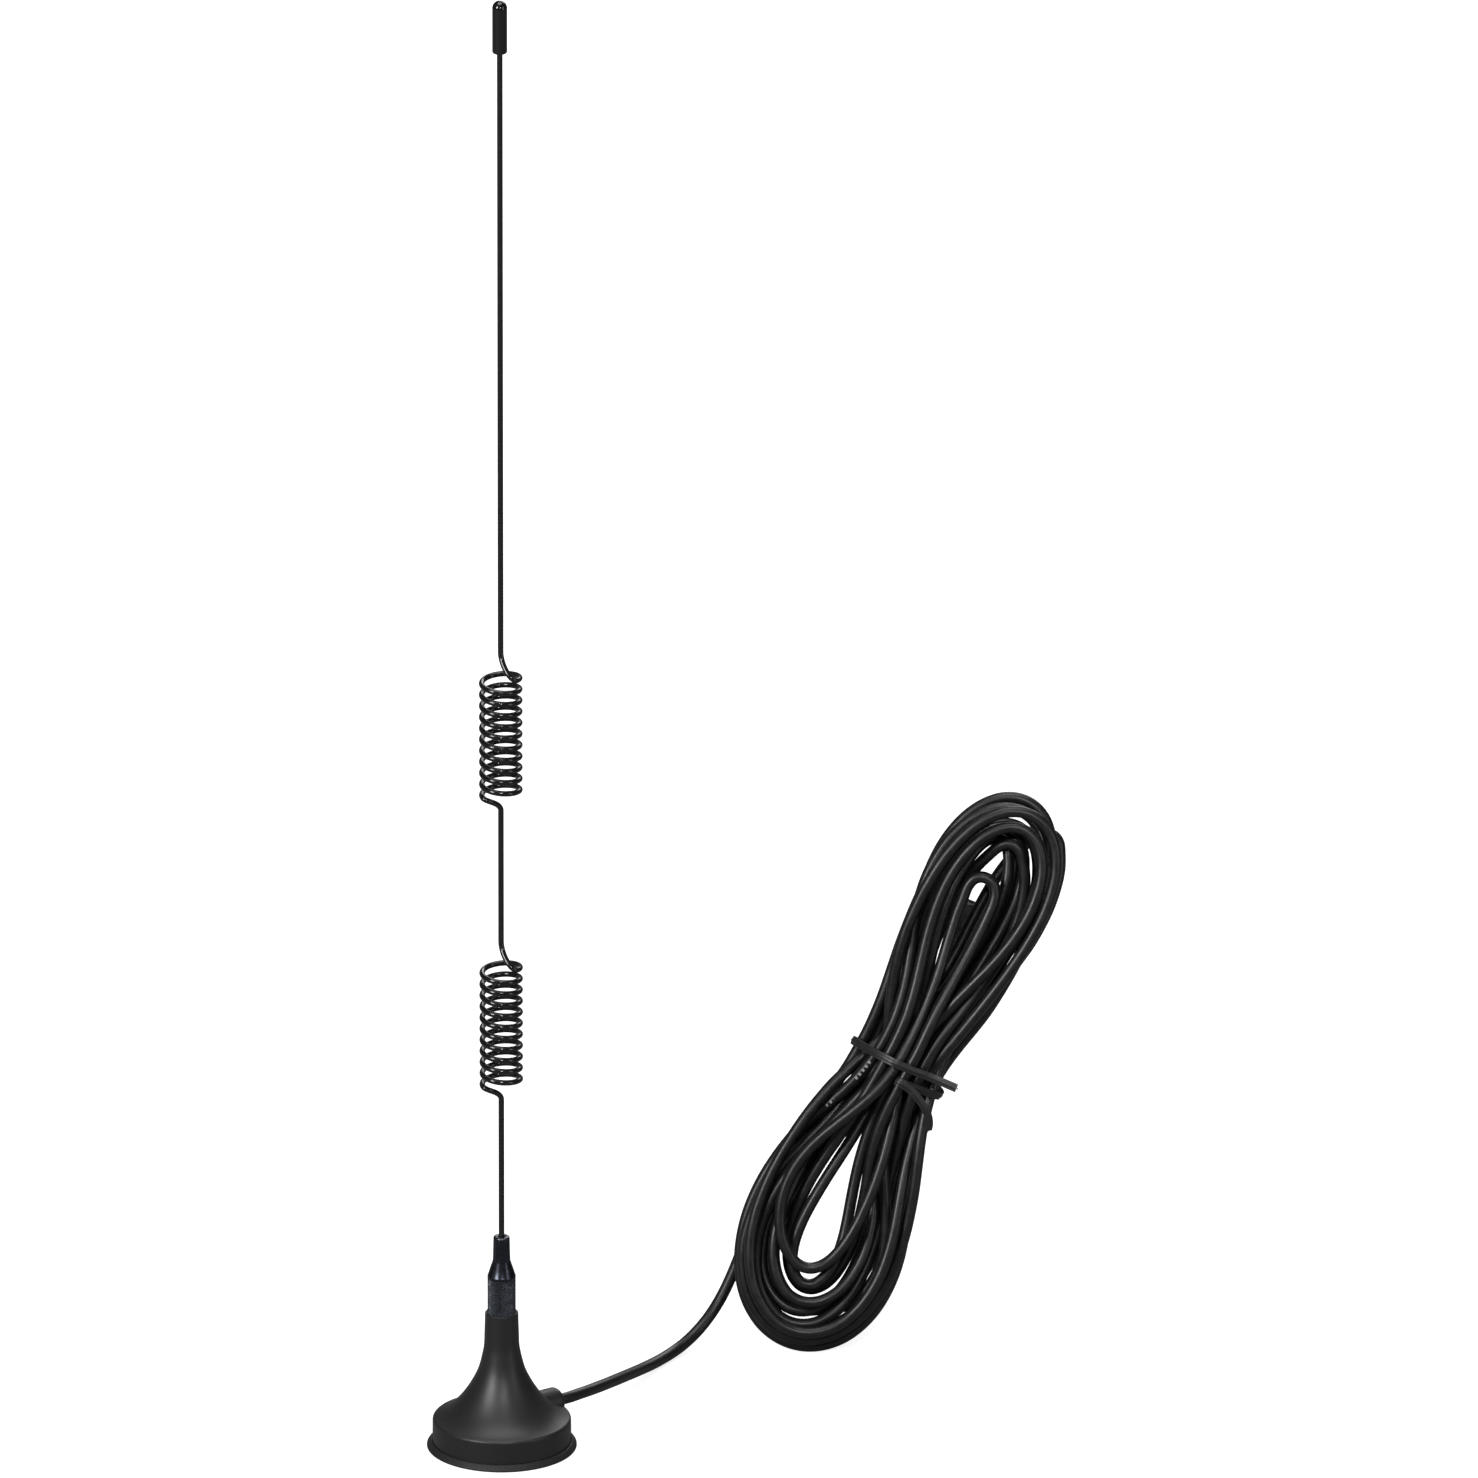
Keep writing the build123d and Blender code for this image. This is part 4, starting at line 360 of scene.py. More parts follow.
# ------------------------------------------------------------------ material kinds
def plastic(name, colour, rough=0.45, grain=9.0, grain_depth=0.010, wear=0.15, coat=0.0,
            dust=0.03, blotch=0.25, vary=1.0):
    """Moulded plastic; grain is its noise scale, vary its unevenness in gloss and form."""
    made, g = new_material(name)
    c = g.coords()
    big = g.noise(c, scale=0.16, detail=3.0)
    mid = g.noise(c, scale=1.3)
    fine = g.noise(c, scale=grain, detail=5.0, rough=0.6)
    speck = g.noise(c, scale=5.0, detail=2.0)
    worn_colour, dust_colour = (0.10, 0.10, 0.10), (0.35, 0.34, 0.33)
    paint = g.mix(g.remap(big, to=(0.0, blotch)), colour, tint(colour, gain=1.9, lift=0.004))
    paint = g.mix(g.edge_wear(wear), paint, worn_colour)
    paint = g.mix(g.specks(speck, span=(0.66, 0.74), amount=dust), paint, dust_colour)
    broad_rough = g.remap(mid, to=(rough - 0.05 * vary, rough + 0.06 * vary))
    grain_bump = g.bump(fine, strength=0.35, depth=grain_depth)
    g.surface({
        "Base Color": paint,
        "Roughness": g.math("ADD", broad_rough, g.remap(fine, to=(-0.02, 0.02))),
        "Specular IOR Level": 0.5,
        "Coat Weight": coat,
        "Coat Roughness": 0.12,
        "Normal": g.bump(mid, strength=0.25, depth=0.03 * vary, under=grain_bump),
    })
    return made


def metal(name, colour, rough=0.28, wear=0.3, light=(0.8, 0.8, 0.8), tarnish=None):
    """Metal with brushed lines, cloudy tarnish and edges worn to the light colour."""
    made, g = new_material(name)
    c = g.coords()
    brushed = g.coords(scale=(1000.0, 1000.0, 9000.0))
    lines = g.noise(brushed, scale=1.2, detail=3.0, rough=0.7)
    cloud = g.noise(c, scale=0.8)
    cloud_span = (0.35, 0.75)
    paint = g.mix(g.remap(cloud, span=cloud_span, to=(0.0, 0.55)), colour,
                  tarnish or tint(colour, gain=0.62))
    line_rough = g.remap(lines, to=(rough - 0.06, rough + 0.06))
    cloud_rough = g.remap(cloud, span=cloud_span, to=(0.0, 0.08))
    line_bump = g.bump(lines, strength=0.25, depth=0.006)
    pits = g.noise(c, scale=14.0, detail=3.0)
    g.surface({
        "Base Color": g.mix(g.edge_wear(wear), paint, light),
        "Metallic": 1.0,
        "Roughness": g.math("ADD", line_rough, cloud_rough),
        "Normal": g.bump(pits, strength=0.12, depth=0.004, under=line_bump),
    })
    return made


def rubber(name, colour, rough):
    made, g = new_material(name)
    c = g.coords()
    fine = g.noise(c, scale=14.0, detail=6.0, rough=0.65)
    mid = g.noise(c, scale=1.6)
    worn_colour = (0.09, 0.09, 0.088)
    paint = g.mix(g.remap(mid, span=(0.35, 0.7), to=(0.0, 0.5)), colour,
                  tint(colour, gain=1.8, lift=0.006))
    grain_bump = g.bump(fine, strength=0.5, depth=0.02)
    g.surface({
        "Base Color": g.mix(g.edge_wear(0.25), paint, worn_colour),
        "Roughness": g.remap(fine, to=(rough - 0.08, rough + 0.08)),
        "Specular IOR Level": 0.35,
        "Normal": g.bump(mid, strength=0.3, depth=0.04, under=grain_bump),
    })
    return made


def print_bars(g, ring_cos, ring_sin, along, fine):
    """Mask of two short groups of printed bars on one strand of the cable."""

    def within(centre, half_length):
        away = g.math("ABSOLUTE", g.math("SUBTRACT", along, centre))
        return g.math("LESS_THAN", away, half_length)

    bar_pitch, bar_share = 1.04, 0.42
    towards_cos, towards_sin, narrowness = 0.975, 0.222, 0.965  # side of the cable printed
    groups = g.math("MAXIMUM", within(centre=1153.5, half_length=2.6),
                    within(centre=1143.8, half_length=1.3))
    bars = g.math("LESS_THAN", g.math("FRACT", g.math("DIVIDE", along, bar_pitch)), bar_share)
    turn = g.math("ADD", g.math("MULTIPLY", ring_cos, towards_cos),
                  g.math("MULTIPLY", ring_sin, towards_sin))
    mask = g.math("MULTIPLY", g.math("MULTIPLY", groups, bars),
                  g.math("GREATER_THAN", turn, narrowness))
    return g.math("MULTIPLY", mask, g.remap(fine, span=(0.40, 0.56), to=(0.35, 1.0)))


def cable_skin(name, colour, rough):
    """Extruded jacket: draw lines along the cable, soft waves, scuffs and print bars."""
    made, g = new_material(name)
    lay = g.node("ShaderNodeAttribute", attribute_name="lay").outputs["Vector"]
    ring_cos, ring_sin, along = g.node("ShaderNodeSeparateXYZ", {0: lay}).outputs
    drawn_scales = {ring_cos: 3.0, ring_sin: 3.0, along: 0.035}
    drawn = g.node("ShaderNodeCombineXYZ", {
        i: g.math("MULTIPLY", part, scale)
        for i, (part, scale) in enumerate(drawn_scales.items())
    }).outputs[0]
    lines = g.noise(drawn, scale=2.4, rough=0.6)
    c = g.coords()
    mid = g.noise(c, scale=0.55)
    fine = g.noise(c, scale=11.0, rough=0.6)
    scuff = g.noise(c, scale=2.2, detail=6.0, rough=0.7)
    scuff_colour, print_colour = (0.14, 0.14, 0.145), (0.55, 0.55, 0.54)
    print_strength = 0.75
    paint = g.mix(g.remap(mid, span=(0.35, 0.7), to=(0.0, 0.55)), colour,
                  tint(colour, gain=1.9, lift=0.003))
    paint = g.mix(g.specks(scuff, span=(0.63, 0.76), amount=0.16), paint, scuff_colour)
    printed = g.math("MULTIPLY", print_bars(g, ring_cos, ring_sin, along, fine), print_strength)
    line_rough = g.remap(lines, to=(rough - 0.05, rough + 0.05))
    line_bump = g.bump(lines, strength=0.35, depth=0.02)
    fine_bump = g.bump(fine, strength=0.25, depth=0.006, under=line_bump)
    g.surface({
        "Base Color": g.mix(printed, paint, print_colour),
        "Roughness": g.math("ADD", line_rough, g.remap(mid, to=(-0.03, 0.05))),
        "Specular IOR Level": 0.42,
        "Normal": g.bump(mid, strength=0.35, depth=0.10, under=fine_bump),
    })
    return made


def woven(name):
    """Tinned braid: two families of strands crossing."""
    made, g = new_material(name)
    c = g.coords()
    waves = [
        g.node("ShaderNodeTexWave", {"Scale": 3.2, "Vector": vector},
               wave_type="BANDS", bands_direction="DIAGONAL").outputs["Fac"]
        for vector in (c, g.mapping(c, scale=(-1, 1, 1)))
    ]
    height = g.math("MAXIMUM", *waves)
    gap_colour, strand_colour = (0.20, 0.17, 0.15), (0.72, 0.68, 0.62)
    g.surface({
        "Base Color": g.mix(height, gap_colour, strand_colour),
        "Metallic": 1.0,
        "Roughness": g.remap(g.noise(c, scale=6.0), to=(0.28, 0.42)),
        "Normal": g.bump(height, strength=0.7, depth=0.05),
    })
    return made


def lacquer(name, colour, rough=0.16):
    """Dark lacquered wire with a few small chips."""
    made, g = new_material(name)
    c = g.coords()
    mid = g.noise(c, scale=0.7)
    fine = g.noise(c, scale=12.0)
    chips = g.noise(c, scale=3.0, detail=6.0, rough=0.7)
    chip_colour = (0.16, 0.16, 0.17)
    paint = g.mix(g.remap(mid, span=(0.35, 0.7), to=(0.0, 0.5)), colour,
                  tint(colour, gain=1.8, lift=0.002))
    fine_bump = g.bump(fine, strength=0.2, depth=0.004)
    g.surface({
        "Base Color": g.mix(g.specks(chips, span=(0.70, 0.76), amount=0.05), paint, chip_colour),
        "Roughness": g.remap(mid, to=(rough - 0.02, rough + 0.03)),
        "Metallic": 0.35,
        "Specular IOR Level": 0.5,
        "Coat Weight": 0.35,
        "Coat Roughness": 0.15,
        "Normal": g.bump(mid, strength=0.15, depth=0.01, under=fine_bump),
    })
    return made


# Material of each named piece
MATERIALS = {
    "base_housing": plastic("housing_black_plastic", (0.0098, 0.0098, 0.0103), rough=0.43,
                            grain=10.0, wear=0.0, dust=0.0, blotch=0.0, vary=0.25),
    "rubber_foot": rubber("foot_rubber", (0.0085, 0.0085, 0.0088), rough=0.56),
    "magnet_cup": metal("cup_zinc_steel", (0.55, 0.56, 0.58), rough=0.34),
    "magnet": metal("magnet_nickel", (0.66, 0.66, 0.67), rough=0.20),
    "ground_plate": metal("ground_brass", (0.72, 0.52, 0.24), rough=0.30,
                          tarnish=(0.40, 0.27, 0.12)),
    "feed_stud": metal("stud_brass", (0.78, 0.58, 0.28), rough=0.26,
                       tarnish=(0.46, 0.32, 0.15)),
    "seal_ring": rubber("seal_rubber", (0.016, 0.016, 0.017), rough=0.55),
    "feed_solder": metal("solder_feed", (0.62, 0.62, 0.64), rough=0.22),
    "ground_solder": metal("solder_ground", (0.60, 0.60, 0.62), rough=0.24),
    "whip_ferrule": metal("ferrule_black_nickel", (0.046, 0.050, 0.062), rough=0.26, wear=0.35,
                          light=(0.24, 0.25, 0.28), tarnish=(0.016, 0.018, 0.024)),
    "whip_wire": lacquer("whip_black_lacquer", (0.0075, 0.0075, 0.0085)),
    "tip_cap": plastic("cap_gloss_plastic", (0.0028, 0.0028, 0.0030), rough=0.13, grain=7.0,
                       grain_depth=0.005, wear=0.1, coat=0.2, dust=0.0, blotch=0.0, vary=0.4),
    "coax_jacket": cable_skin("jacket_pvc", (0.0055, 0.0055, 0.0060), rough=0.36),
    "coax_braid": woven("braid_tinned"),
    "coax_dielectric": plastic("dielectric_white", (0.78, 0.78, 0.75), rough=0.40, grain=8.0,
                               wear=0.0),
    "coax_conductor": metal("conductor_copper", (0.80, 0.42, 0.26)),
    "heat_shrink": plastic("shrink_black", (0.0125, 0.0125, 0.013), rough=0.50, grain=6.0,
                           grain_depth=0.03, wear=0.1),
    "crimp_ferrule": metal("crimp_black_nickel", (0.050, 0.051, 0.056), rough=0.30,
                           light=(0.26, 0.26, 0.28), tarnish=(0.022, 0.022, 0.025)),
    "sma_body": metal("plug_black_nickel", (0.060, 0.061, 0.067), rough=0.20, wear=0.35,
                      light=(0.34, 0.34, 0.36), tarnish=(0.028, 0.028, 0.032)),
    "sma_snap_ring": metal("snap_steel", (0.46, 0.46, 0.47), rough=0.30),
    "sma_coupling_nut": metal("nut_black_nickel", (0.060, 0.061, 0.067), rough=0.22, wear=0.4,
                              light=(0.36, 0.36, 0.38), tarnish=(0.026, 0.026, 0.030)),
    "sma_gasket": rubber("gasket_red", (0.38, 0.035, 0.02), rough=0.55),
    "sma_insulator": plastic("insulator_ptfe", (0.86, 0.86, 0.84), rough=0.42, grain=7.0,
                             grain_depth=0.008, wear=0.0),
    "sma_centre_pin": metal("pin_gold", (0.92, 0.68, 0.30), rough=0.16),
    "twist_tie_ribbon": plastic("tie_black_plastic", (0.0085, 0.0085, 0.0085), rough=0.38,
                                grain=6.0, grain_depth=0.02, wear=0.12),
    "twist_tie_wire": metal("tie_steel", (0.42, 0.42, 0.43), rough=0.38),
}

for name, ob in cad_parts.items():
    if ob.type == "MESH":
        if len(ob.material_slots) == 0:
            ob.data.materials.append(MATERIALS[name])
        for slot in ob.material_slots:
            slot.material = MATERIALS[name]


def install(ob, node, body, replaces=True):
    """Give a mesh the material of a CAD piece and hand it over as part of a moving body."""
    ob.data.materials.append(MATERIALS[node])
    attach(ob, body)
    if replaces:
        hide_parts(node)


# ------------------------------------------------------------------ cable
CABLE_EXIT = np.array((0.0, 0.0, 6.5))
EXIT_ANGLE = math.radians(35.0)
EXIT_DIR = np.array((math.cos(EXIT_ANGLE), math.sin(EXIT_ANGLE), 0.0))
PLUG_ORIGIN = np.array((87.184, 76.688, 66.012))
PLUG_AXIS = unit((0.39787, 0.23745, 0.88618))
PLUG_ENTRY = 0.55  # along the plug axis, where the cable runs straight

# Cable centre line from base to plug, two stations on a line: x y z, then unit direction
CABLE = table("""
7.492 5.246 6.500 .81915 .57358 .00000 9.704 6.795 6.500 .81915 .57358 .00000
11.915 8.343 6.500 .81915 .57358 .00000 13.955 10.085 6.431 .64041 .76483 -.07013
14.887 11.277 6.311 .61242 .78648 -.07995 17.286 14.331 5.982 .57470 .81165 -.10459
19.744 18.293 5.390 .49703 .85657 -.13871 22.073 22.754 4.612 .43821 .88413 -.16213
23.858 26.536 3.899 .41337 .89404 -.17270 26.165 31.608 2.916 .40902 .89629 -.17135
27.356 34.191 2.435 .41791 .89441 -.15928 32.576 44.114 1.323 .52101 .85353 -.00591
37.132 50.522 2.334 .60786 .73777 .29361 42.591 56.038 7.216 .52594 .43673 .72983
47.126 59.179 16.057 .36118 .19800 .91123 50.581 60.795 25.150 .36611 .13314 .92100
52.680 61.475 29.968 .43369 .12345 .89256 54.790 62.024 33.868 .50969 .12489 .85124
57.047 62.514 37.196 .59754 .12139 .79259 66.796 64.729 47.547 .71266 .20080 .67215
75.833 68.300 57.582 .52526 .29255 .79907 78.258 69.821 62.040 .38683 .27658 .87970
80.995 72.082 71.652 .17383 .17116 .96979 81.747 72.862 76.396 .14332 .15445 .97755
84.124 75.288 89.095 .26525 .21961 .93884 88.497 77.829 98.953 .53909 .21914 .81324
94.949 79.503 105.527 .83509 .11678 .53757 102.919 79.643 107.702 .98638 -.10821 -.12384
107.357 78.695 105.572 .68596 -.24343 -.68571 109.733 77.254 100.825 .17946 -.25099 -.95121
109.475 75.867 94.525 -.22605 -.18604 -.95619 106.086 74.496 86.754 -.52430 -.14167 -.83967
98.830 72.586 77.482 -.63556 -.20850 -.74337 96.829 71.850 75.071 -.60688 -.24658 -.75558
95.155 71.112 72.944 -.58481 -.27806 -.76203 94.028 70.550 71.425 -.55581 -.29152 -.77852
92.101 69.414 68.557 -.50183 -.33178 -.79880 90.409 68.187 65.581 -.42569 -.33882 -.83904
89.250 67.172 63.237 -.40734 -.39123 -.82524 88.137 66.044 60.923 -.38173 -.40551 -.83057
87.137 64.907 58.565 -.33762 -.40876 -.84789 86.475 64.089 56.897 -.33143 -.41882 -.84542
85.738 63.099 54.856 -.28467 -.40724 -.86782 85.069 62.143 52.774 -.27912 -.39545 -.87505
84.549 61.370 51.038 -.24226 -.38953 -.88858 84.184 60.764 49.652 -.23575 -.39066 -.88983
83.231 59.330 46.457 -.27610 -.39461 -.87638 82.596 58.394 44.357 -.25019 -.39035 -.88602
82.116 57.626 42.607 -.24322 -.39043 -.88793 80.864 55.567 37.901 -.21684 -.38629 -.89653
79.848 53.553 33.123 -.16789 -.37321 -.91243 79.308 52.396 30.178 -.17356 -.34768 -.92141
78.818 51.435 27.598 -.18219 -.33564 -.92420 77.733 49.949 23.085 -.26133 -.28396 -.92253
73.783 47.383 13.980 -.53172 -.21782 -.81843 64.568 45.320 6.521 -.95598 -.09173 -.27873
56.470 45.373 7.271 -.87667 .11323 .46758 52.037 46.488 11.535 -.51237 .22349 .82917
49.538 49.107 21.287 -.00275 .25442 .96709 51.482 51.832 31.799 .32547 .23729 .91529
57.930 55.239 44.237 .53984 .24910 .80406 60.928 56.629 48.380 .59073 .28010 .75670
63.416 57.822 51.342 .63350 .30929 .70924 67.226 59.739 55.111 .72124 .35568 .59440
68.351 60.294 56.022 .72508 .36101 .58645 70.972 61.668 58.101 .73626 .39447 .54984
72.753 62.524 59.417 .75574 .33392 .56334 74.473 63.470 60.753 .68802 .46733 .55519
76.509 64.526 62.311 .78735 .24817 .56436 77.738 64.871 63.189 .79098 .22118 .57046
80.174 65.773 65.048 .72622 .34809 .59282 82.192 66.675 66.758 .71881 .28640 .63348
84.925 67.945 69.448 .63699 .33018 .69658 88.501 69.929 74.002 .53018 .32462 .78328
95.118 74.245 85.596 .46335 .29501 .83563 101.760 77.777 95.380 .64500 .27369 .71349
104.658 78.795 97.993 .78626 .22782 .57436 107.694 79.538 99.778 .92073 .15960 .35606
110.278 79.557 99.703 .84929 -.18546 -.49428 111.304 79.148 98.670 .44845 -.33998 -.82662
111.722 78.088 96.176 .03745 -.39260 -.91895 111.631 76.856 93.241 -.12616 -.37801 -.91717
110.500 75.068 88.856 -.30761 -.35457 -.88298 105.873 71.507 79.914 -.53522 -.31190 -.78502
103.541 70.295 76.832 -.59515 -.29798 -.74633 102.066 69.600 75.089 -.64813 -.27859 -.70874
97.265 67.838 70.395 -.70018 -.25710 -.66607 92.967 65.937 65.866 -.58913 -.33065 -.73729
90.752 64.528 62.784 -.50343 -.36598 -.78270 88.898 62.993 59.526 -.42111 -.39369 -.81711
87.643 61.709 56.856 -.34544 -.39322 -.85208 86.986 60.922 55.170 -.33176 -.41253 -.84838
86.067 59.736 52.803 -.31002 -.41862 -.85360 84.678 57.613 48.166 -.21975 -.38294 -.89726
84.049 56.452 45.238 -.17078 -.33763 -.92566 83.803 55.943 43.791 -.14709 -.31796 -.93662
83.177 54.593 39.162 -.12059 -.23555 -.96435 82.891 54.071 36.858 -.12026 -.20461 -.97143
82.347 53.342 32.926 -.15491 -.16001 -.97489 81.646 52.728 28.996 -.19188 -.14469 -.97069
80.447 51.966 23.903 -.26472 -.14749 -.95298 75.621 49.925 12.755 -.54124 -.17807 -.82180
69.171 48.360 6.150 -.83127 -.13796 -.53847 58.844 47.742 3.839 -.98117 .04860 .18693
50.709 49.245 9.518 -.52502 .21580 .82327 48.189 51.222 17.267 -.08528 .23887 .96730
51.181 54.367 30.801 .45995 .19505 .86626 53.993 55.385 35.171 .59255 .19326 .78200
57.388 56.441 39.089 .67903 .21143 .70301 61.084 57.677 42.658 .70415 .25740 .66175
64.195 58.995 45.558 .68381 .33745 .64694 65.756 59.827 47.153 .62315 .35751 .69560
67.699 61.023 49.420 .58698 .38734 .71093 70.123 62.783 52.728 .50897 .39044 .76714
72.608 64.803 56.945 .44167 .34657 .82753 73.623 65.617 58.950 .40890 .33355 .84944
75.254 66.777 62.472 .40419 .21739 .88847 76.216 67.225 64.616 .39619 .16974 .90234
78.409 68.005 69.834 .37502 .09694 .92194 79.141 68.188 71.657 .36601 .09189 .92606
80.149 68.429 74.263 .35394 .07688 .93210 81.135 68.632 76.878 .34892 .07081 .93447
81.943 68.802 79.119 .32631 .07134 .94257 82.579 68.940 80.980 .32222 .06851 .94418
83.370 69.110 83.226 .34561 .07683 .93523 85.306 69.546 88.137 .37239 .08310 .92435
86.388 69.796 90.713 .40468 .09722 .90928 88.744 70.375 95.422 .48882 .12060 .86401
93.949 71.597 102.131 .74381 .15901 .64920 99.191 72.573 104.845 .97524 .15173 .16090
104.304 73.133 103.423 .74815 .03154 -.66278 106.993 72.918 98.216 .18593 -.08339 -.97902
107.222 72.740 96.289 .05428 -.09772 -.99373 105.699 71.749 87.109 -.32500 -.09892 -.94052
101.490 71.003 78.232 -.50644 -.04779 -.86095 99.571 70.862 75.150 -.53660 -.03998 -.84289
97.577 70.693 72.118 -.56452 -.05072 -.82386 96.214 70.569 70.161 -.57763 -.05680 -.81432
93.064 70.133 65.929 -.61109 -.10847 -.78410 90.814 69.626 63.122 -.62317 -.17509 -.76223
88.589 68.900 60.340 -.59418 -.21901 -.77394 83.500 66.140 51.871 -.35964 -.30132 -.88310
81.360 63.014 42.373 -.08059 -.30054 -.95036 81.039 58.797 29.105 -.03563 -.30516 -.95163
78.671 54.509 15.629 -.33141 -.28044 -.90084 73.665 51.912 7.092 -.65337 -.21503 -.72586
64.919 50.376 1.605 -.96869 -.05333 -.24246 54.605 51.117 3.104 -.83653 .18484 .51580
48.583 53.678 10.914 -.31187 .28044 .90780 48.248 57.399 23.711 .21630 .25938 .94124
53.759 60.571 36.135 .53833 .18542 .82208 61.278 62.245 45.784 .64038 .11209 .75984
64.623 62.846 49.842 .61754 .11830 .77759 66.324 63.183 52.045 .59203 .12676 .79588
68.627 63.726 55.335 .55027 .12784 .82514 69.891 64.066 57.334 .50525 .16024 .84797
70.665 64.316 58.665 .48946 .15269 .85856 73.514 65.157 64.029 .42393 .15179 .89289
74.159 65.401 65.428 .40422 .15911 .90072 76.142 66.352 70.249 .34369 .20532 .91636
77.345 67.161 73.585 .32162 .23904 .91620 78.622 68.200 77.286 .31128 .27238 .91045
79.524 68.992 79.822 .33685 .29058 .89560 80.060 69.448 81.213 .34816 .29522 .88973
81.980 71.047 85.888 .38088 .30498 .87288 87.970 74.845 97.001 .55393 .25383 .79293
94.288 76.758 103.675 .80448 .13308 .57888 101.714 76.944 106.416 .99276 -.12000 .00566
107.214 75.369 104.203 .64952 -.35310 -.67338 109.599 72.782 98.497 .08867 -.37607 -.92234
108.373 69.637 89.772 -.28843 -.28764 -.91328 103.208 66.738 78.003 -.45767 -.14969 -.87643
100.697 66.092 73.379 -.49058 -.09096 -.86663 98.867 65.829 70.249 -.51602 -.05669 -.85470
96.233 65.688 66.147 -.57139 .00023 -.82068 91.554 65.638 59.937 -.60447 -.03578 -.79582
88.461 65.183 55.667 -.54966 -.14227 -.82318 86.782 64.601 52.979 -.49662 -.23101 -.83666
85.837 64.088 51.322 -.45582 -.28380 -.84361 84.201 62.811 47.842 -.35482 -.34225 -.87004
82.410 60.624 42.413 -.23884 -.35574 -.90355 81.280 58.854 37.561 -.20761 -.30438 -.92965
80.718 58.051 34.940 -.18738 -.27001 -.94445 80.431 57.646 33.467 -.18431 -.25083 -.95032
79.664 56.727 29.606 -.18943 -.20609 -.96002 77.917 55.304 21.732 -.24973 -.15136 -.95641
76.353 54.516 16.738 -.34935 -.14947 -.92500 72.723 53.243 9.989 -.60663 -.18742 -.77258
69.613 52.371 6.937 -.78503 -.19211 -.58892 59.843 50.931 4.387 -.98550 -.03905 .16513
51.443 51.925 10.368 -.48719 .20147 .84974 49.471 54.572 20.653 .07731 .25382 .96416
52.600 57.402 32.200 .38777 .19336 .90125 54.308 58.112 35.808 .45290 .15593 .87782
58.313 59.023 42.419 .58354 .06241 .80968 59.239 59.110 43.667 .60663 .04949 .79344
62.416 59.182 47.350 .70800 -.02083 .70590 66.313 59.054 50.893 .74833 -.03008 .66264
67.755 58.997 52.223 .71738 -.02629 .69618 70.823 58.972 55.443 .66365 .01545 .74788
71.837 59.008 56.621 .63928 .03054 .76837 74.965 59.375 60.873 .54142 .11069 .83343
77.537 60.205 65.428 .42854 .20518 .87992 79.490 61.583 70.153 .30901 .30480 .90090
80.470 62.761 73.446 .23171 .34074 .91116 81.480 64.615 78.289 .15396 .35489 .92215
82.077 66.183 82.410 .12462 .35310 .92725 82.473 67.255 85.406 .12834 .32113 .93830
82.900 68.191 88.006 .19331 .34913 .91692 83.832 69.479 91.268 .29736 .34754 .88927
85.767 71.267 95.859 .44436 .32495 .83483 86.494 71.764 97.147 .48525 .31028 .81747
92.412 74.148 104.028 .77446 .17823 .60700 100.048 74.737 107.396 .99270 -.06927 .09874
105.212 73.694 106.236 .78594 -.30196 -.53955 108.143 71.428 101.238 .14578 -.36334 -.92018
107.444 68.862 94.017 -.26407 -.29592 -.91799 106.287 67.853 90.723 -.36532 -.26013 -.89380
104.275 66.667 86.432 -.45511 -.22036 -.86274 102.937 66.099 84.031 -.49347 -.19375 -.84791
100.867 65.306 80.634 -.52843 -.19029 -.82738 98.439 64.433 76.985 -.55652 -.20495 -.80516
92.653 62.011 69.374 -.61665 -.29321 -.73060 91.686 61.546 68.246 -.62534 -.30375 -.71880
88.367 59.919 64.458 -.60621 -.30594 -.73411 85.434 58.441 60.306 -.49655 -.24138 -.83377
83.310 57.524 56.009 -.37115 -.12904 -.91956 81.952 57.154 52.215 -.30228 -.05765 -.95147
81.298 57.063 49.924 -.25592 -.02054 -.96648 80.897 57.045 48.423 -.26145 -.00358 -.96521
79.892 57.075 44.513 -.22879 .01350 -.97338 78.950 57.111 40.165 -.19312 -.00617 -.98116
78.213 56.976 36.202 -.20412 -.06670 -.97667 77.890 56.848 34.688 -.20535 -.09815 -.97375
77.328 56.492 31.970 -.20910 -.15416 -.96567 76.898 56.153 30.078 -.22523 -.19150 -.95530
75.722 55.005 25.488 -.26324 -.27777 -.92388 74.176 53.335 20.709 -.32877 -.34195 -.88033
70.076 50.081 12.867 -.56030 -.31558 -.76582 64.889 48.169 8.120 -.86489 -.18389 -.46707
59.538 47.654 6.945 -.99548 .01447 .09381 57.681 47.752 7.343 -.94316 .08866 .32030
52.041 49.360 12.930 -.38120 .24756 .89073 51.533 49.738 14.319 -.28564 .24694 .92598
51.012 51.659 22.555 .13291 .19160 .97243 51.266 51.946 24.060 .19286 .17806 .96493
52.761 52.764 29.065 .36389 .13088 .92220 55.732 53.564 34.834 .53686 .12352 .83458
58.622 54.274 38.700 .62430 .16874 .76275 66.942 56.974 47.394 .69934 .22900 .67711
69.476 57.772 49.864 .69755 .20476 .68665 73.110 58.661 53.597 .66581 .13696 .73344
75.687 59.125 56.682 .59626 .11452 .79458 78.086 59.886 60.371 .47568 .23113 .84871
79.488 61.025 63.519 .31475 .36849 .87473 80.724 62.812 67.412 .24590 .42885 .86926
81.978 65.122 71.996 .26515 .43362 .86120 82.791 66.300 74.402 .30855 .40222 .86199
84.491 68.268 79.014 .32880 .34404 .87950 85.518 69.313 81.880 .30530 .30573 .90184
85.989 69.779 83.292 .29813 .29130 .90899 86.791 70.552 85.864 .27187 .25860 .92694
88.246 71.789 90.802 .28985 .22112 .93118 91.485 73.595 98.567 .51759 .18434 .83554
92.613 73.938 100.151 .62720 .16333 .76154 96.374 74.572 103.082 .91841 .08872 .38554
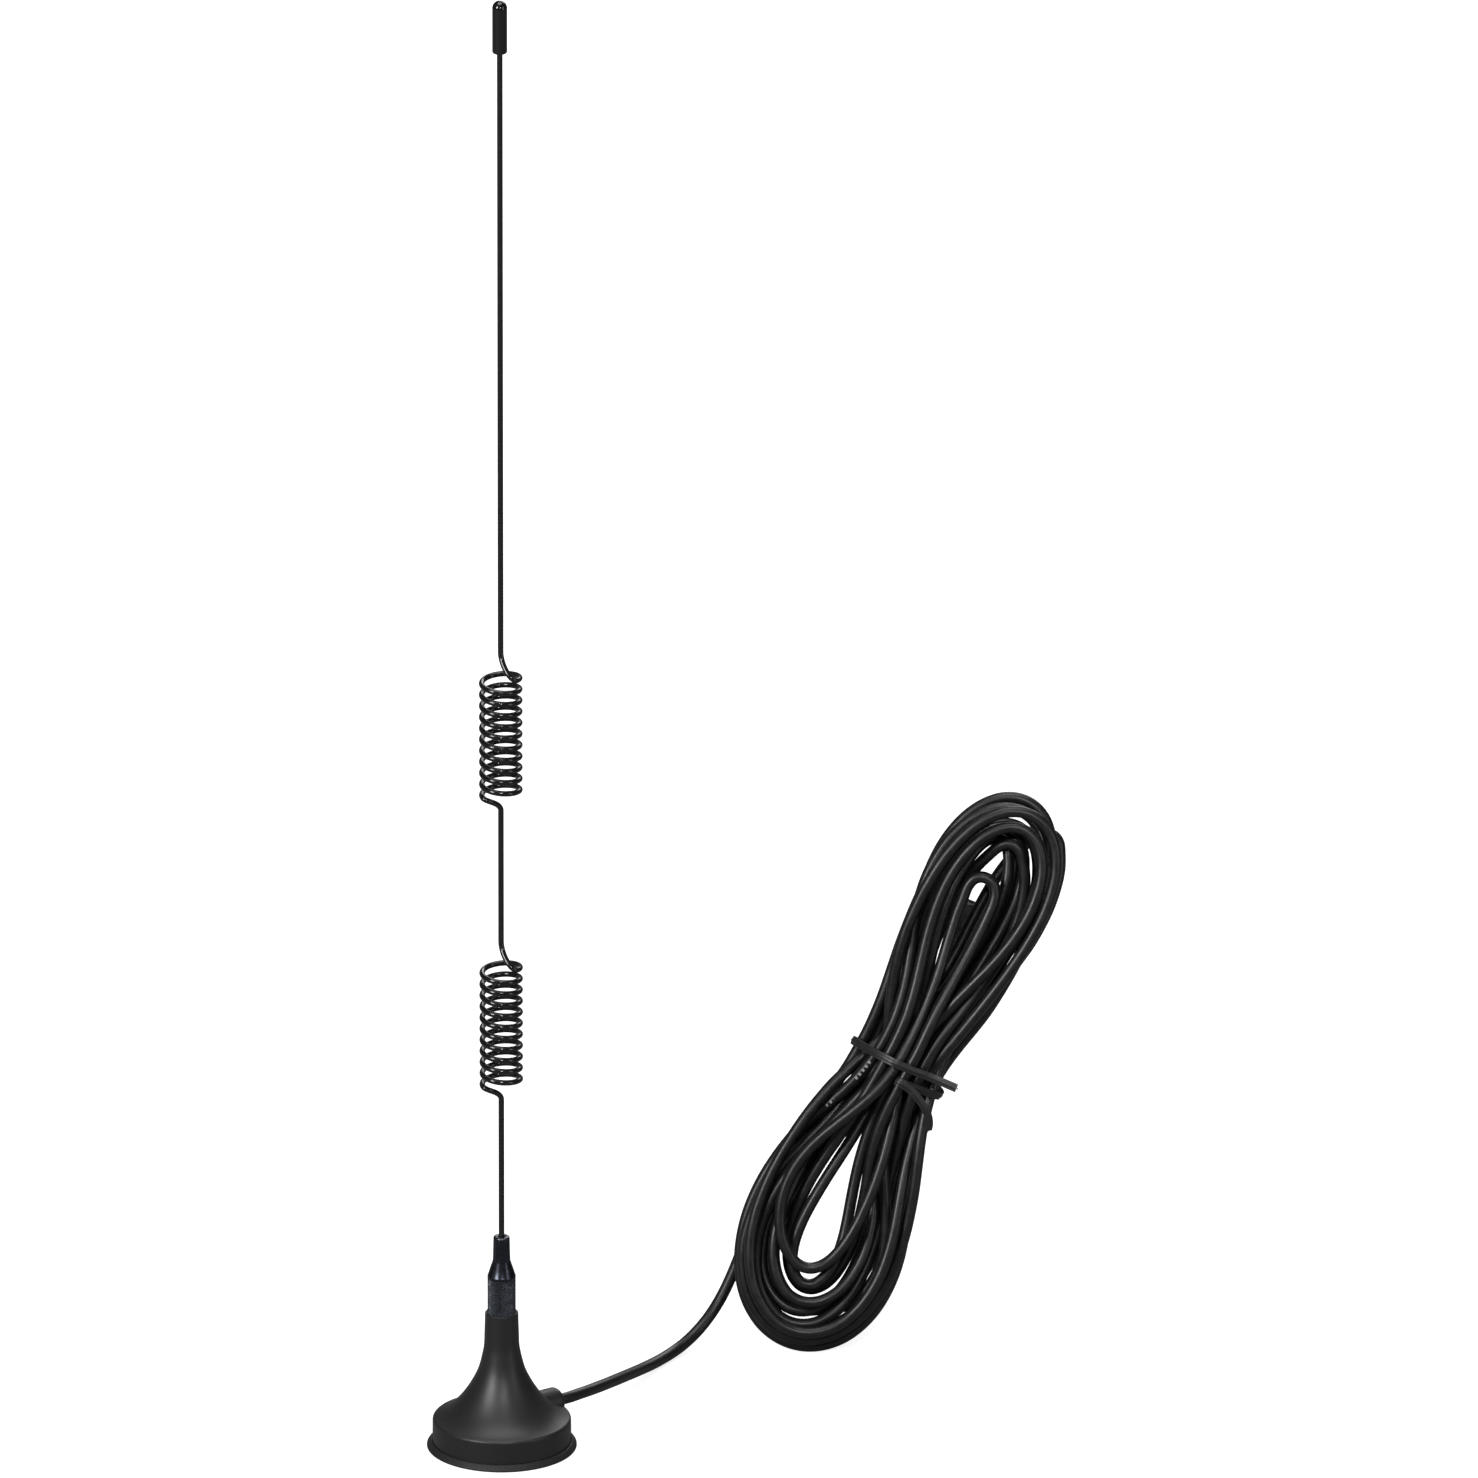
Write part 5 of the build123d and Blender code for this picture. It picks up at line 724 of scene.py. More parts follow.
101.322 74.674 102.790 .86599 -.05994 -.49646 104.447 73.730 97.137 .08773 -.18962 -.97793
103.213 71.943 89.745 -.33740 -.26768 -.90250 99.450 69.314 82.457 -.49780 -.33849 -.79851
97.816 68.200 79.914 -.51558 -.35073 -.78177 95.908 66.930 77.091 -.53007 -.34478 -.77469
95.083 66.399 75.880 -.52806 -.33611 -.77986 90.831 64.054 69.265 -.50260 -.21444 -.83750
90.052 63.734 67.952 -.49681 -.19365 -.84598 88.659 63.291 65.557 -.49578 -.12217 -.85981
87.889 63.116 64.213 -.49242 -.10656 -.86381 86.287 62.788 61.437 -.50474 -.09947 -.85752
85.292 62.593 59.742 -.50205 -.09838 -.85923 83.189 62.116 56.313 -.53868 -.15222 -.82864
80.787 61.229 52.649 -.52272 -.23531 -.81939 79.785 60.730 51.021 -.48493 -.27133 -.83140
77.732 59.020 46.453 -.31281 -.34870 -.88349 76.611 57.101 41.666 -.12666 -.35852 -.92489
76.341 55.578 37.508 .00364 -.31631 -.94865 76.820 53.176 28.050 .03261 -.18168 -.98282
76.170 51.999 19.613 -.23886 -.08729 -.96712 74.620 51.696 15.449 -.45626 -.04979 -.88845
68.683 51.547 9.454 -.89675 .01831 -.44216 62.487 51.789 8.529 -.97969 .05357 .19322
56.714 52.143 12.378 -.58036 .08485 .80993 54.422 53.178 19.478 -.03525 .18637 .98185
56.988 55.405 29.033 .47547 .21926 .85197 58.906 56.145 32.032 .57624 .17226 .79892
63.148 57.236 37.437 .61259 .14831 .77636 68.129 58.836 44.286 .53081 .24343 .81177
70.807 60.354 48.600 .47581 .33348 .81388 73.223 62.345 52.874 .43979 .40733 .80042
74.606 63.702 55.442 .41995 .44152 .79291 75.931 65.104 58.018 .40531 .42139 .81126
76.892 66.108 59.960 .39695 .41684 .81772 78.561 67.712 63.773 .36064 .27578 .89100
80.259 68.859 68.207 .32380 .21410 .92158 80.753 69.182 69.650 .31229 .19961 .92878
81.854 69.877 73.043 .28849 .19641 .93712 82.296 70.188 74.504 .28046 .20324 .93810
85.081 72.383 83.708 .30441 .24193 .92131 85.568 72.762 85.139 .32058 .24420 .91520
90.112 75.400 94.917 .52412 .21543 .82395 94.178 76.678 99.853 .73780 .16766 .65387
97.520 77.214 101.979 .93189 .08656 .35227 100.565 77.202 102.033 .91528 -.11363 -.38645
102.490 76.562 99.795 .30724 -.26206 -.91484 102.833 75.553 96.384 -.06541 -.29231 -.95408
101.901 74.133 91.828 -.28256 -.28510 -.91590 101.427 73.695 90.408 -.32433 -.27704 -.90447
99.767 72.504 86.435 -.40747 -.25731 -.87622 97.623 71.319 82.207 -.46888 -.22528 -.85405
95.023 70.221 77.717 -.51140 -.18604 -.83897 92.232 69.346 73.295 -.53970 -.14412 -.82943
86.765 68.181 65.161 -.56124 -.10748 -.82064 79.646 66.045 54.272 -.48605 -.25605 -.83558
75.342 61.733 44.072 -.20129 -.44051 -.87489 74.546 57.923 36.453 -.01323 -.43113 -.90219
74.509 56.730 33.939 -.01733 -.42557 -.90476 74.473 55.907 32.162 -.02047 -.41382 -.91013
74.030 53.438 26.616 -.15106 -.39786 -.90493 71.588 50.231 19.047 -.44256 -.34237 -.82881
67.095 48.024 13.726 -.78766 -.24316 -.56610 61.168 47.041 11.875 -.99595 -.03348 .08341
56.475 47.547 14.392 -.61948 .19934 .75928 54.318 49.351 20.499 -.06258 .30579 .95004
56.160 52.954 30.281 .34854 .36491 .86334 58.315 54.962 34.681 .44461 .38224 .81007
59.857 56.228 37.206 .51913 .40722 .75145 61.388 57.378 39.251 .57208 .41210 .70916
64.624 59.556 42.815 .63853 .40443 .65476 66.969 60.982 45.182 .65897 .38693 .64502
70.493 62.964 48.581 .67240 .36075 .64633 73.974 64.753 52.130 .63505 .31462 .70550
77.354 66.435 56.410 .53804 .27373 .79724 79.933 67.829 60.826 .43356 .25197 .86518
84.454 70.721 72.864 .29522 .18281 .93778 85.287 71.208 75.496 .30190 .16352 .93921
86.287 71.704 78.516 .32109 .14495 .93589 92.023 73.010 91.209 .52095 .03572 .85284
95.042 73.036 95.546 .62438 -.03072 .78051 96.921 72.919 97.609 .70773 -.06196 .70376
98.569 72.656 99.295 .70113 -.15110 .69684 100.855 72.278 100.759 .95901 -.14072 .24596
103.520 71.587 99.752 .57645 -.24979 -.77802 104.366 70.923 96.813 .15787 -.19779 -.96745
104.629 70.239 93.303 -.04286 -.17749 -.98319 103.708 69.209 87.362 -.25098 -.15830 -.95496
101.258 68.193 80.943 -.45151 -.12839 -.88298 98.521 67.558 76.455 -.58068 -.11144 -.80647
92.085 66.464 69.087 -.69155 -.11732 -.71274 89.576 65.999 66.508 -.69262 -.14085 -.70742
87.707 65.638 64.456 -.63606 -.11272 -.76336 85.516 65.249 61.584 -.57494 -.11338 -.81030
83.348 64.770 58.195 -.48979 -.11799 -.86382 81.351 64.157 54.246 -.39835 -.15942 -.90327
77.140 61.233 40.780 -.22598 -.24046 -.94399 76.451 60.416 37.748 -.19959 -.26895 -.94225
76.147 59.992 36.284 -.19417 -.27523 -.94157 75.521 59.093 33.263 -.19703 -.28535 -.93795
74.879 58.150 30.259 -.20556 -.30020 -.93147 73.670 56.513 25.376 -.25527 -.32157 -.91183
73.138 55.872 23.588 -.28518 -.32897 -.90025 71.387 54.054 18.934 -.37992 -.35908 -.85248
67.524 51.224 12.827 -.63787 -.34852 -.68678 62.739 49.527 9.600 -.93515 -.16049 -.31581
57.715 49.679 9.503 -.92839 .20465 .31017 53.127 51.787 13.701 -.40920 .36223 .83747
52.119 54.495 20.731 .11427 .32621 .93836 52.358 54.992 22.183 .18999 .31417 .93016
56.375 57.856 31.131 .55497 .24799 .79404 58.023 58.542 33.296 .61608 .24280 .74933
65.748 60.958 40.853 .74419 .18539 .64172 68.747 61.656 43.462 .73882 .15989 .65465
72.478 62.393 47.123 .66111 .12437 .73991 74.527 62.758 49.576 .61029 .10236 .78554
77.486 63.223 53.942 .50764 .07509 .85829 79.574 63.525 57.877 .43171 .06042 .89999
81.629 63.849 62.746 .35440 .06178 .93305 83.098 64.140 66.949 .29607 .07918 .95188
84.398 64.608 71.622 .22333 .11244 .96824 84.783 64.871 73.534 .17150 .15588 .97277
85.044 65.127 75.045 .17139 .16926 .97055 86.083 66.105 80.133 .21119 .21369 .95380
87.244 67.276 84.721 .27214 .26369 .92542 88.892 68.821 89.510 .35669 .31629 .87905
91.236 70.774 94.338 .47186 .36445 .80282 94.101 72.802 98.290 .62144 .40321 .67174
96.634 74.221 100.429 .82007 .35184 .45132 99.167 74.842 100.826 .95671 .02966 -.28952
100.466 74.703 100.058 .69687 -.20720 -.68661 101.420 73.473 96.950 .04539 -.34854 -.93620
101.111 72.078 93.199 -.19882 -.34575 -.91702 99.832 70.701 89.154 -.35105 -.27921 -.89376
97.803 69.435 84.895 -.45658 -.23389 -.85839 95.820 68.523 81.478 -.51397 -.21197 -.83121
93.712 67.677 78.118 -.52585 -.20757 -.82486 90.881 66.564 73.775 -.53326 -.21817 -.81733
88.086 65.325 69.443 -.51358 -.25446 -.81944 86.242 64.342 66.464 -.49933 -.28566 -.81796
84.891 63.498 64.153 -.46583 -.31590 -.82657 83.041 62.150 60.807 -.44342 -.34471 -.82738
81.402 60.687 57.403 -.36987 -.37727 -.84904 79.895 58.970 53.568 -.30117 -.38877 -.87072
78.660 57.208 49.661 -.24991 -.39514 -.88397 78.217 56.437 47.905 -.20276 -.38693 -.89954
77.906 55.840 46.503 -.20578 -.38194 -.90099 77.184 54.634 43.613 -.23680 -.36606 -.89996
75.761 52.824 38.850 -.30951 -.31162 -.89839 74.132 51.406 34.470 -.35824 -.27111 -.89340
73.076 50.679 31.974 -.39484 -.24709 -.88490 72.272 50.203 30.233 -.41928 -.23587 -.87668
67.927 48.371 23.029 -.61905 -.19072 -.76184 64.361 47.527 19.879 -.87353 -.14665 -.46415
60.559 47.208 19.396 -.95359 .00152 .30111 56.793 47.926 23.151 -.41287 .21637 .88472
55.625 49.714 30.458 .07372 .23138 .97007 59.922 51.916 41.195 .60346 .12301 .78784
66.603 52.723 47.755 .77561 .06068 .62829 69.427 53.001 49.993 .78215 .09348 .61603
71.276 53.233 51.467 .77212 .10907 .62605 75.157 54.210 54.896 .68325 .26315 .68112
77.470 55.309 57.466 .58766 .34709 .73088 78.354 55.871 58.619 .54757 .36942 .75080
80.795 57.751 62.402 .47388 .39204 .78850 82.299 58.999 64.962 .44608 .38788 .80657
84.518 61.021 69.326 .39692 .37253 .83885 85.876 62.372 72.416 .35491 .36637 .86012
87.393 63.970 76.301 .30962 .36229 .87914 88.333 65.129 79.152 .28513 .35154 .89169
89.740 66.756 83.532 .29304 .31723 .90194 91.114 68.073 87.573 .32386 .27246 .90603
92.136 68.779 90.086 .36990 .23694 .89835 92.805 69.240 91.891 .35153 .22134 .90964
95.889 69.715 94.587 .99738 -.07203 .00615 97.336 69.505 94.209 .84624 -.19869 -.49436
98.574 68.315 90.491 -.21746 -.27878 -.93541 97.113 67.192 86.885 -.40972 -.28985 -.86494
94.373 65.260 81.750 -.46710 -.34111 -.81576 92.622 63.975 78.832 -.48421 -.36605 -.79470
91.459 63.084 76.945 -.49148 -.37924 -.78398 89.884 61.847 74.424 -.48290 -.38687 -.78558
87.557 59.984 70.557 -.46787 -.37381 -.80085 85.957 58.739 67.538 -.42503 -.30322 -.85288
84.584 57.842 64.763 -.41847 -.26518 -.86866 83.398 57.155 62.314 -.43498 -.21763 -.87374
81.920 56.532 59.518 -.47688 -.17474 -.86142 79.595 55.775 55.287 -.47204 -.13452 -.87125
77.912 55.323 52.094 -.44480 -.11398 -.88835 76.228 54.902 48.433 -.38293 -.09454 -.91893
74.641 54.503 43.841 -.26032 -.06806 -.96312 73.582 54.160 38.681 -.15684 -.06256 -.98564
73.028 53.950 35.111 -.14989 -.05345 -.98726 72.582 53.801 32.357 -.17508 -.05520 -.98301
71.787 53.576 28.406 -.21669 -.05636 -.97461 68.895 52.955 19.462 -.42765 -.07544 -.90079
64.829 52.418 13.924 -.79167 -.07152 -.60675 60.755 52.237 12.952 -.94689 .00800 .32146
58.263 52.396 15.299 -.44861 .07063 .89093 57.191 52.886 21.160 .03270 .08496 .99585
59.257 53.689 30.277 .36111 .08743 .92842 62.068 54.289 36.151 .49079 .08406 .86721
64.583 54.699 40.316 .53785 .07840 .83939 67.480 55.102 44.732 .55039 .07586 .83146
69.694 55.423 48.109 .54017 .08152 .83760 72.036 55.872 51.888 .50700 .12554 .85276
73.233 56.189 53.932 .49657 .13557 .85735 76.221 57.116 59.208 .48020 .17798 .85891
78.685 58.144 63.789 .43891 .21409 .87265 80.820 59.415 68.471 .35026 .27102 .89658
81.825 60.364 71.379 .28552 .30507 .90852 83.073 61.883 75.843 .23064 .31537 .92052
85.346 64.832 84.966 .26089 .27587 .92511 91.040 68.224 97.723 .56668 .19360 .80087
91.958 68.518 98.946 .61253 .18341 .76888 97.699 69.681 103.953 .87738 .10208 .46881
103.060 69.841 105.119 .98600 -.07505 -.14892 105.185 69.537 104.334 .82963 -.18627 -.52633
108.044 67.690 98.720 .06768 -.30296 -.95060 106.761 65.460 91.451 -.34358 -.26265 -.90165
100.703 62.952 81.523 -.62863 -.15383 -.76234 91.745 61.577 71.985 -.69005 -.07441 -.71992
89.572 61.332 69.632 -.66093 -.07834 -.74635 87.994 61.114 67.857 -.67062 -.11254 -.73321
85.285 60.515 64.913 -.65739 -.17198 -.73366 81.899 59.545 60.964 -.62094 -.20259 -.75723
80.937 59.222 59.780 -.60896 -.20669 -.76580 79.550 58.775 57.887 -.54754 -.16434 -.82048
76.909 57.967 53.364 -.45757 -.14870 -.87665 74.715 57.222 48.598 -.37544 -.14445 -.91552
73.303 56.620 44.848 -.32504 -.15327 -.93320 71.343 55.384 38.294 -.23849 -.20786 -.94864
70.896 54.958 36.422 -.21565 -.22429 -.95036 70.574 54.599 34.943 -.20023 -.23634 -.95082
69.882 53.689 31.500 -.17986 -.26210 -.94813 69.607 53.278 30.027 -.17533 -.26794 -.94735
67.361 50.625 21.263 -.34887 -.28423 -.89303 64.780 49.207 16.890 -.65931 -.23716 -.71349
60.985 48.582 15.177 -.98639 .01830 .16342 58.821 48.906 16.622 -.51998 .20057 .83030
58.151 49.344 18.382 -.19672 .24137 .95028 58.135 50.159 21.875 .14704 .20633 .96737
60.146 51.589 27.910 .42264 .22898 .87690 62.642 52.920 32.394 .49903 .27661 .82125
65.184 54.352 36.311 .53817 .30871 .78426 67.154 55.514 39.139 .54360 .32855 .77237
68.002 56.031 40.341 .54358 .33328 .77036 73.817 59.764 49.565 .42732 .28557 .85782
75.434 60.956 53.553 .30098 .22788 .92600 76.350 61.689 56.987 .19302 .20239 .96009
76.810 62.050 59.716 .14240 .04645 .98872 77.213 62.315 63.293 .07967 .15639 .98448
77.398 62.855 66.025 .06591 .16450 .98417 77.572 63.152 68.376 .07858 .11119 .99069
77.879 63.506 71.543 .12010 .10106 .98761 78.077 63.656 73.075 .13262 .09236 .98685
78.777 64.052 77.450 .19337 .09092 .97690 80.030 64.604 82.555 .28895 .12352 .94934
83.362 66.118 90.811 .43432 .19650 .87906 84.056 66.430 92.172 .45584 .20326 .86654
90.904 68.944 102.116 .67248 .18615 .71633 97.624 70.228 107.183 .90447 .09934 .41481
104.223 70.417 108.208 .98051 -.06150 -.18660 108.271 69.798 106.049 .68407 -.19386 -.70318
110.833 68.177 100.086 .10113 -.26051 -.96016 109.750 65.948 91.926 -.30203 -.25251 -.91925
104.283 63.067 81.247 -.53905 -.20898 -.81594 95.824 60.637 69.809 -.61279 -.12043 -.78102
92.037 60.043 65.034 -.62103 -.07433 -.78025 89.515 59.802 61.879 -.63330 -.04603 -.77253
87.509 59.692 59.369 -.61384 -.02567 -.78901 85.794 59.623 57.156 -.59730 -.01738 -.80183
83.628 59.646 53.744 -.47664 .02005 -.87887 82.913 59.680 52.362 -.44547 .02255 -.89501
81.064 59.847 47.864 -.30196 .04167 -.95241 79.786 59.989 42.749 -.19891 .01121 -.97995
79.231 59.973 39.592 -.14805 -.02487 -.98867 79.004 59.922 38.059 -.15037 -.03882 -.98787
78.500 59.743 34.899 -.15810 -.07760 -.98437 78.187 59.566 32.965 -.16142 -.10222 -.98158
77.225 58.865 27.820 -.20791 -.16095 -.96482 73.332 56.402 16.393 -.45933 -.21481 -.86190
68.075 54.726 9.857 -.78091 -.15752 -.60446 63.040 54.107 7.537 -.98451 -.05175 -.16753
58.031 54.189 8.160 -.90796 .08955 .40937 52.243 56.154 16.098 -.19316 .24883 .94909
53.232 58.897 26.206 .33052 .25265 .90935 58.181 61.297 34.859 .59579 .21350 .77425
67.854 64.411 45.060 .70825 .24323 .66274 71.596 65.830 48.506 .70501 .29851 .64331
77.205 68.730 53.697 .65817 .41272 .62966 79.790 70.514 56.233 .62041 .46730 .62986
82.199 72.434 58.835 .58127 .51179 .63261 83.536 73.592 60.435 .52953 .42861 .73205
84.795 74.684 62.138 .54324 .53806 .64450 85.664 75.564 63.170 .52456 .51612 .67710
""", columns=6)


def cable_line(start, stop, step):
    """Centre line from a distance beyond the exit point to one along the plug axis."""
    stations = np.vstack([
        CABLE_EXIT + start * EXIT_DIR, CABLE[:, :3],
        PLUG_ORIGIN + PLUG_ENTRY * PLUG_AXIS, PLUG_ORIGIN + stop * PLUG_AXIS,
    ])
    headings = np.vstack([EXIT_DIR, unit(CABLE[:, 3:]), PLUG_AXIS, PLUG_AXIS])
    return centre_line(stations, headings, step)


def jacket_swell(s):
    """Slight unevenness of the jacket along its length."""
    return 0.006 * np.sin(s / 7.3) * np.sin(s / 2.9 + 1.0) + 0.004 * np.sin(s / 1.31)


CORE_STEP = 1.6
jacket = tube("cable_jacket", *cable_line(start=7.6, stop=3.6, step=0.7), radius=1.17, sides=24,
              swell=jacket_swell)
install(jacket, "coax_jacket", "base")
braid = pipe("braid_sleeve", *cable_line(start=5.0, stop=4.6, step=CORE_STEP),
             outer=0.85, inner=0.71, sides=12)
install(braid, "coax_braid", "base")
insulation = pipe("core_insulation", *cable_line(start=3.0, stop=9.2, step=CORE_STEP),
                  outer=0.61, inner=0.30, sides=12)
install(insulation, "coax_dielectric", "base")
conductor = tube("core_wire", *cable_line(start=0.95, stop=11.9, step=CORE_STEP),
                 radius=0.20, sides=8)
install(conductor, "coax_conductor", "base")

# ------------------------------------------------------------------ whip wire
WIRE_RADIUS = 0.57
WIRE_TOP, WIRE_BOTTOM = 305.5, 34.6
COIL_RADIUS, COIL_PITCH, COIL_TURNS = 3.80, 2.38, 10.62
COIL_START_ANGLE = -25.0  # degrees
COIL_MIDDLES = (152.4, 90.6)
COIL_RISE = 12.07  # from a coil's middle to the start of its first turn
LEAD_IN, LEAD_OUT = 5.4, 3.2  # height of the bends above and below a coil
STEPS_PER_TURN, BEND_STEPS = 12, 6


def whip_line():
    """Stations and headings of the wire from the top down, through two coils."""
    points, headings = [], []
    down = np.array([0.0, 0.0, -1.0])

    def add(point, heading):
        points.append(np.asarray(point, float))
        headings.append(unit(heading))

    def bend(start, start_pull, end, end_pull):
        """Cubic bend between two (point, heading) pairs, without its ends."""
        (p0, t0), (p1, t1) = start, end
        slope0, slope1 = start_pull * t0, end_pull * t1
        for i in range(1, BEND_STEPS):
            x = i / BEND_STEPS
            add(hermite(x, p0, slope0, p1, slope1),
                (6 * x**2 - 6 * x) * (p0 - p1)
                + (3 * x**2 - 4 * x + 1) * slope0 + (3 * x**2 - 2 * x) * slope1)

    def on_coil(turn, coil_top):
        angle = math.radians(COIL_START_ANGLE + 360 * turn)
        x, y = COIL_RADIUS * math.cos(angle), COIL_RADIUS * math.sin(angle)
        heading = unit([-y, x, -COIL_PITCH / (2 * math.pi)])
        return np.array([x, y, coil_top - COIL_PITCH * turn]), heading

    add((0, 0, WIRE_TOP), down)
    for middle in COIL_MIDDLES:
        coil_top = middle + COIL_RISE
        upper = np.array([0.0, 0.0, coil_top + LEAD_IN])
        lower = np.array([0.0, 0.0, coil_top - COIL_PITCH * COIL_TURNS - LEAD_OUT])
        add(upper, down)
        bend((upper, down), 8.5, on_coil(0.0, coil_top), 9.5)
        steps = int(COIL_TURNS * STEPS_PER_TURN)
        for i in range(steps + 1):
            add(*on_coil(COIL_TURNS * i / steps, coil_top))
        bend(on_coil(COIL_TURNS, coil_top), 6.5, (lower, down), 5.5)
        add(lower, down)
    add((0, 0, WIRE_BOTTOM), down)
    return np.array(points), np.array(headings)


whip = tube("whip_rod", *centre_line(*whip_line(), step=1.2), radius=WIRE_RADIUS, sides=28)
install(whip, "whip_wire", "whip")

# ------------------------------------------------------------------ ferrule with a diamond knurl
KNURL_RADIUS, KNURL_BOTTOM, KNURL_TOP = 2.825, 26.50, 36.70
KNURL_START, KNURL_END = KNURL_BOTTOM + 0.45, KNURL_TOP - 0.42  # heights of the cut grooves
KNURL_COUNT = 26
KNURL_DEPTH = 0.20
KNURL_FADE = 0.25  # height over which the grooves run out
KNURL_SLANT = 0.58 / math.tan(math.radians(30))
GROOVE_HALF_WIDTH = 0.26  # share of the groove spacing


def knurl_shift(angle, radius, z):
    if not KNURL_START < z < KNURL_END or radius < 2.7:
        return 0.0
    spacing = 2 * math.pi / KNURL_COUNT
    turn = angle / spacing
    climb = z / (KNURL_RADIUS * spacing) * KNURL_SLANT

    def groove(place):
        return np.clip(1 - np.abs(place % 1.0 - 0.5) / GROOVE_HALF_WIDTH, 0, 1) ** 0.8

    fade = min(1.0, (z - KNURL_START) / KNURL_FADE, (KNURL_END - z) / KNURL_FADE)
    return -KNURL_DEPTH * np.maximum(groove(turn + climb), groove(turn - climb)) * fade


# (radius, z): inner face, bottom rim, knurl, cone, neck, then the bore for the wire
FERRULE_PROFILE = [
    (0, 33.30), (1.99, 33.30), (2.00, 33.28), (2.00, 26.72), (2.02, 26.68), (2.18, 26.52),
    (2.22, 26.50), (KNURL_RADIUS - 0.27, 26.50), (KNURL_RADIUS - 0.22, 26.52),
    *straight((KNURL_RADIUS, KNURL_BOTTOM + 0.25), (KNURL_RADIUS, KNURL_TOP - 0.22), 0.055),
    (KNURL_RADIUS - 0.01, KNURL_TOP - 0.12), (KNURL_RADIUS - 0.05, KNURL_TOP - 0.02),
    (KNURL_RADIUS - 0.10, KNURL_TOP + 0.06), (2.30, 38.16), (1.84, 39.54), (1.79, 39.72),
    (1.765, 39.92), (1.75, 40.15), (1.72, 40.9), (1.68, 42.8), (1.636, 44.60), (1.60, 44.74),
    (1.50, 44.84), (1.38, 44.90), (0.80, 44.90), (0.72, 44.86), (0.64, 44.76), (0.63, 44.70),
    (0.63, 34.42), (0.62, 34.40), (0, 34.40),
]
ferrule = turned("ferrule_knurled", FERRULE_PROFILE, segments=480, crease_degrees=50,
                 shift=knurl_shift)
install(ferrule, "whip_ferrule", "whip")

# ------------------------------------------------------------------ feed stud with its thread
STUD_RADIUS = 1.93
THREAD_BOTTOM, THREAD_TOP = 25.7, 32.2
THREAD_PITCH, THREAD_DEPTH, THREAD_FADE = 0.7, 0.36, 0.4


def thread_shift(angle, radius, z):
    if not THREAD_BOTTOM < z < THREAD_TOP or radius < 1.85:
        return 0.0
    phase = (z / THREAD_PITCH - angle / (2 * math.pi)) % 1.0
    slope = 1 - np.abs(phase - 0.5) / 0.5
    groove = np.clip((slope - 0.12) / 0.76, 0, 1)  # flat crests and roots
    fade = min(1.0, (z - THREAD_BOTTOM) / THREAD_FADE, (THREAD_TOP - z) / THREAD_FADE)
    return -THREAD_DEPTH * groove * fade


# (radius, z): pin, flange, threaded shank, chamfer
STUD_PROFILE = [
    (0, 5.40), (0.74, 5.40), (0.80, 5.46), (0.80, 20.95), (2.24, 20.95), (2.30, 21.01),
    (2.30, 22.99), (2.24, 23.05), (STUD_RADIUS, 23.05),
    *straight((STUD_RADIUS, 23.08), (STUD_RADIUS, 32.0), 0.05)[1:],
    (1.86, 32.12), (1.45, 32.50), (0, 32.50),
]
stud = turned("feed_stud_threaded", STUD_PROFILE, segments=96, crease_degrees=48,
              shift=thread_shift)
install(stud, "feed_stud", "base")


# ------------------------------------------------------------------ foot
def foot_shift(angle, radius, z):
    """A fine upright ridge at 87 degrees and a slight waviness of the rim."""
    if radius < 14.05:
        return 0.0
    ridge_height, ridge_width = 0.055, 0.011  # mm, radians
    ridge = np.exp(-(((angle - math.radians(87.0)) / ridge_width) ** 2))
    return ridge_height * ridge + 0.006 * np.sin(5 * angle + 0.8)


# (radius, z): underside, rounded edge, sloping side, lip, recessed top
FOOT_PROFILE = [
    (0, 0), (14.70, 0), (14.82, 0.012), (14.91, 0.045), (14.965, 0.10), (14.985, 0.17),
    (14.985, 0.30), (14.965, 0.40), (14.91, 0.49),
    *straight((14.86, 0.55), (14.33, 1.17), 0.2),
    (14.28, 1.225), (14.20, 1.27), (14.11, 1.295), (14.02, 1.30), (13.99, 1.29),
    (13.97, 1.26), (13.97, 0.72), (13.95, 0.68), (0, 0.68),
]
foot = turned("foot_moulded", FOOT_PROFILE, segments=720, crease_degrees=50, shift=foot_shift)
install(foot, "rubber_foot", "base")

# ------------------------------------------------------------------ tip cap
CAP_RADIUS, CAP_BOTTOM, CAP_TOP = 1.49, 297.0, 308.0
CAP_ROUND = 0.35  # radius of the lower edge
CAP_BORE, CAP_BORE_TOP = 0.62, 305.6
CAP_DOME_Z = CAP_TOP - CAP_RADIUS

cap_profile = [
    (0, CAP_BORE_TOP), (CAP_BORE, CAP_BORE_TOP), (CAP_BORE, CAP_BOTTOM), (1.12, CAP_BOTTOM),
    *[(CAP_RADIUS - CAP_ROUND + CAP_ROUND * math.sin(a),
       CAP_BOTTOM + CAP_ROUND - CAP_ROUND * math.cos(a))
      for a in np.linspace(0.1, math.pi / 2, 8)],
    *straight((CAP_RADIUS, 297.6), (CAP_RADIUS, CAP_DOME_Z), 1.0),
    *[(CAP_RADIUS * math.cos(a), CAP_DOME_Z + CAP_RADIUS * math.sin(a))
      for a in np.linspace(0.1, math.pi / 2 - 0.08, 14)],
    (0, CAP_TOP),
]
cap = turned("tip_cap_moulded", cap_profile, segments=64, crease_degrees=40)
install(cap, "tip_cap", "whip")

# ------------------------------------------------------------------ twist tie
TIE_HALF_WIDTH, TIE_HALF_RIB, TIE_HALF_WEB = 0.85, 0.27, 0.14
TIE_STEP = 0.22
TIE_WIRE_RADIUS, TIE_WIRE_STICKOUT = 0.15, 0.35

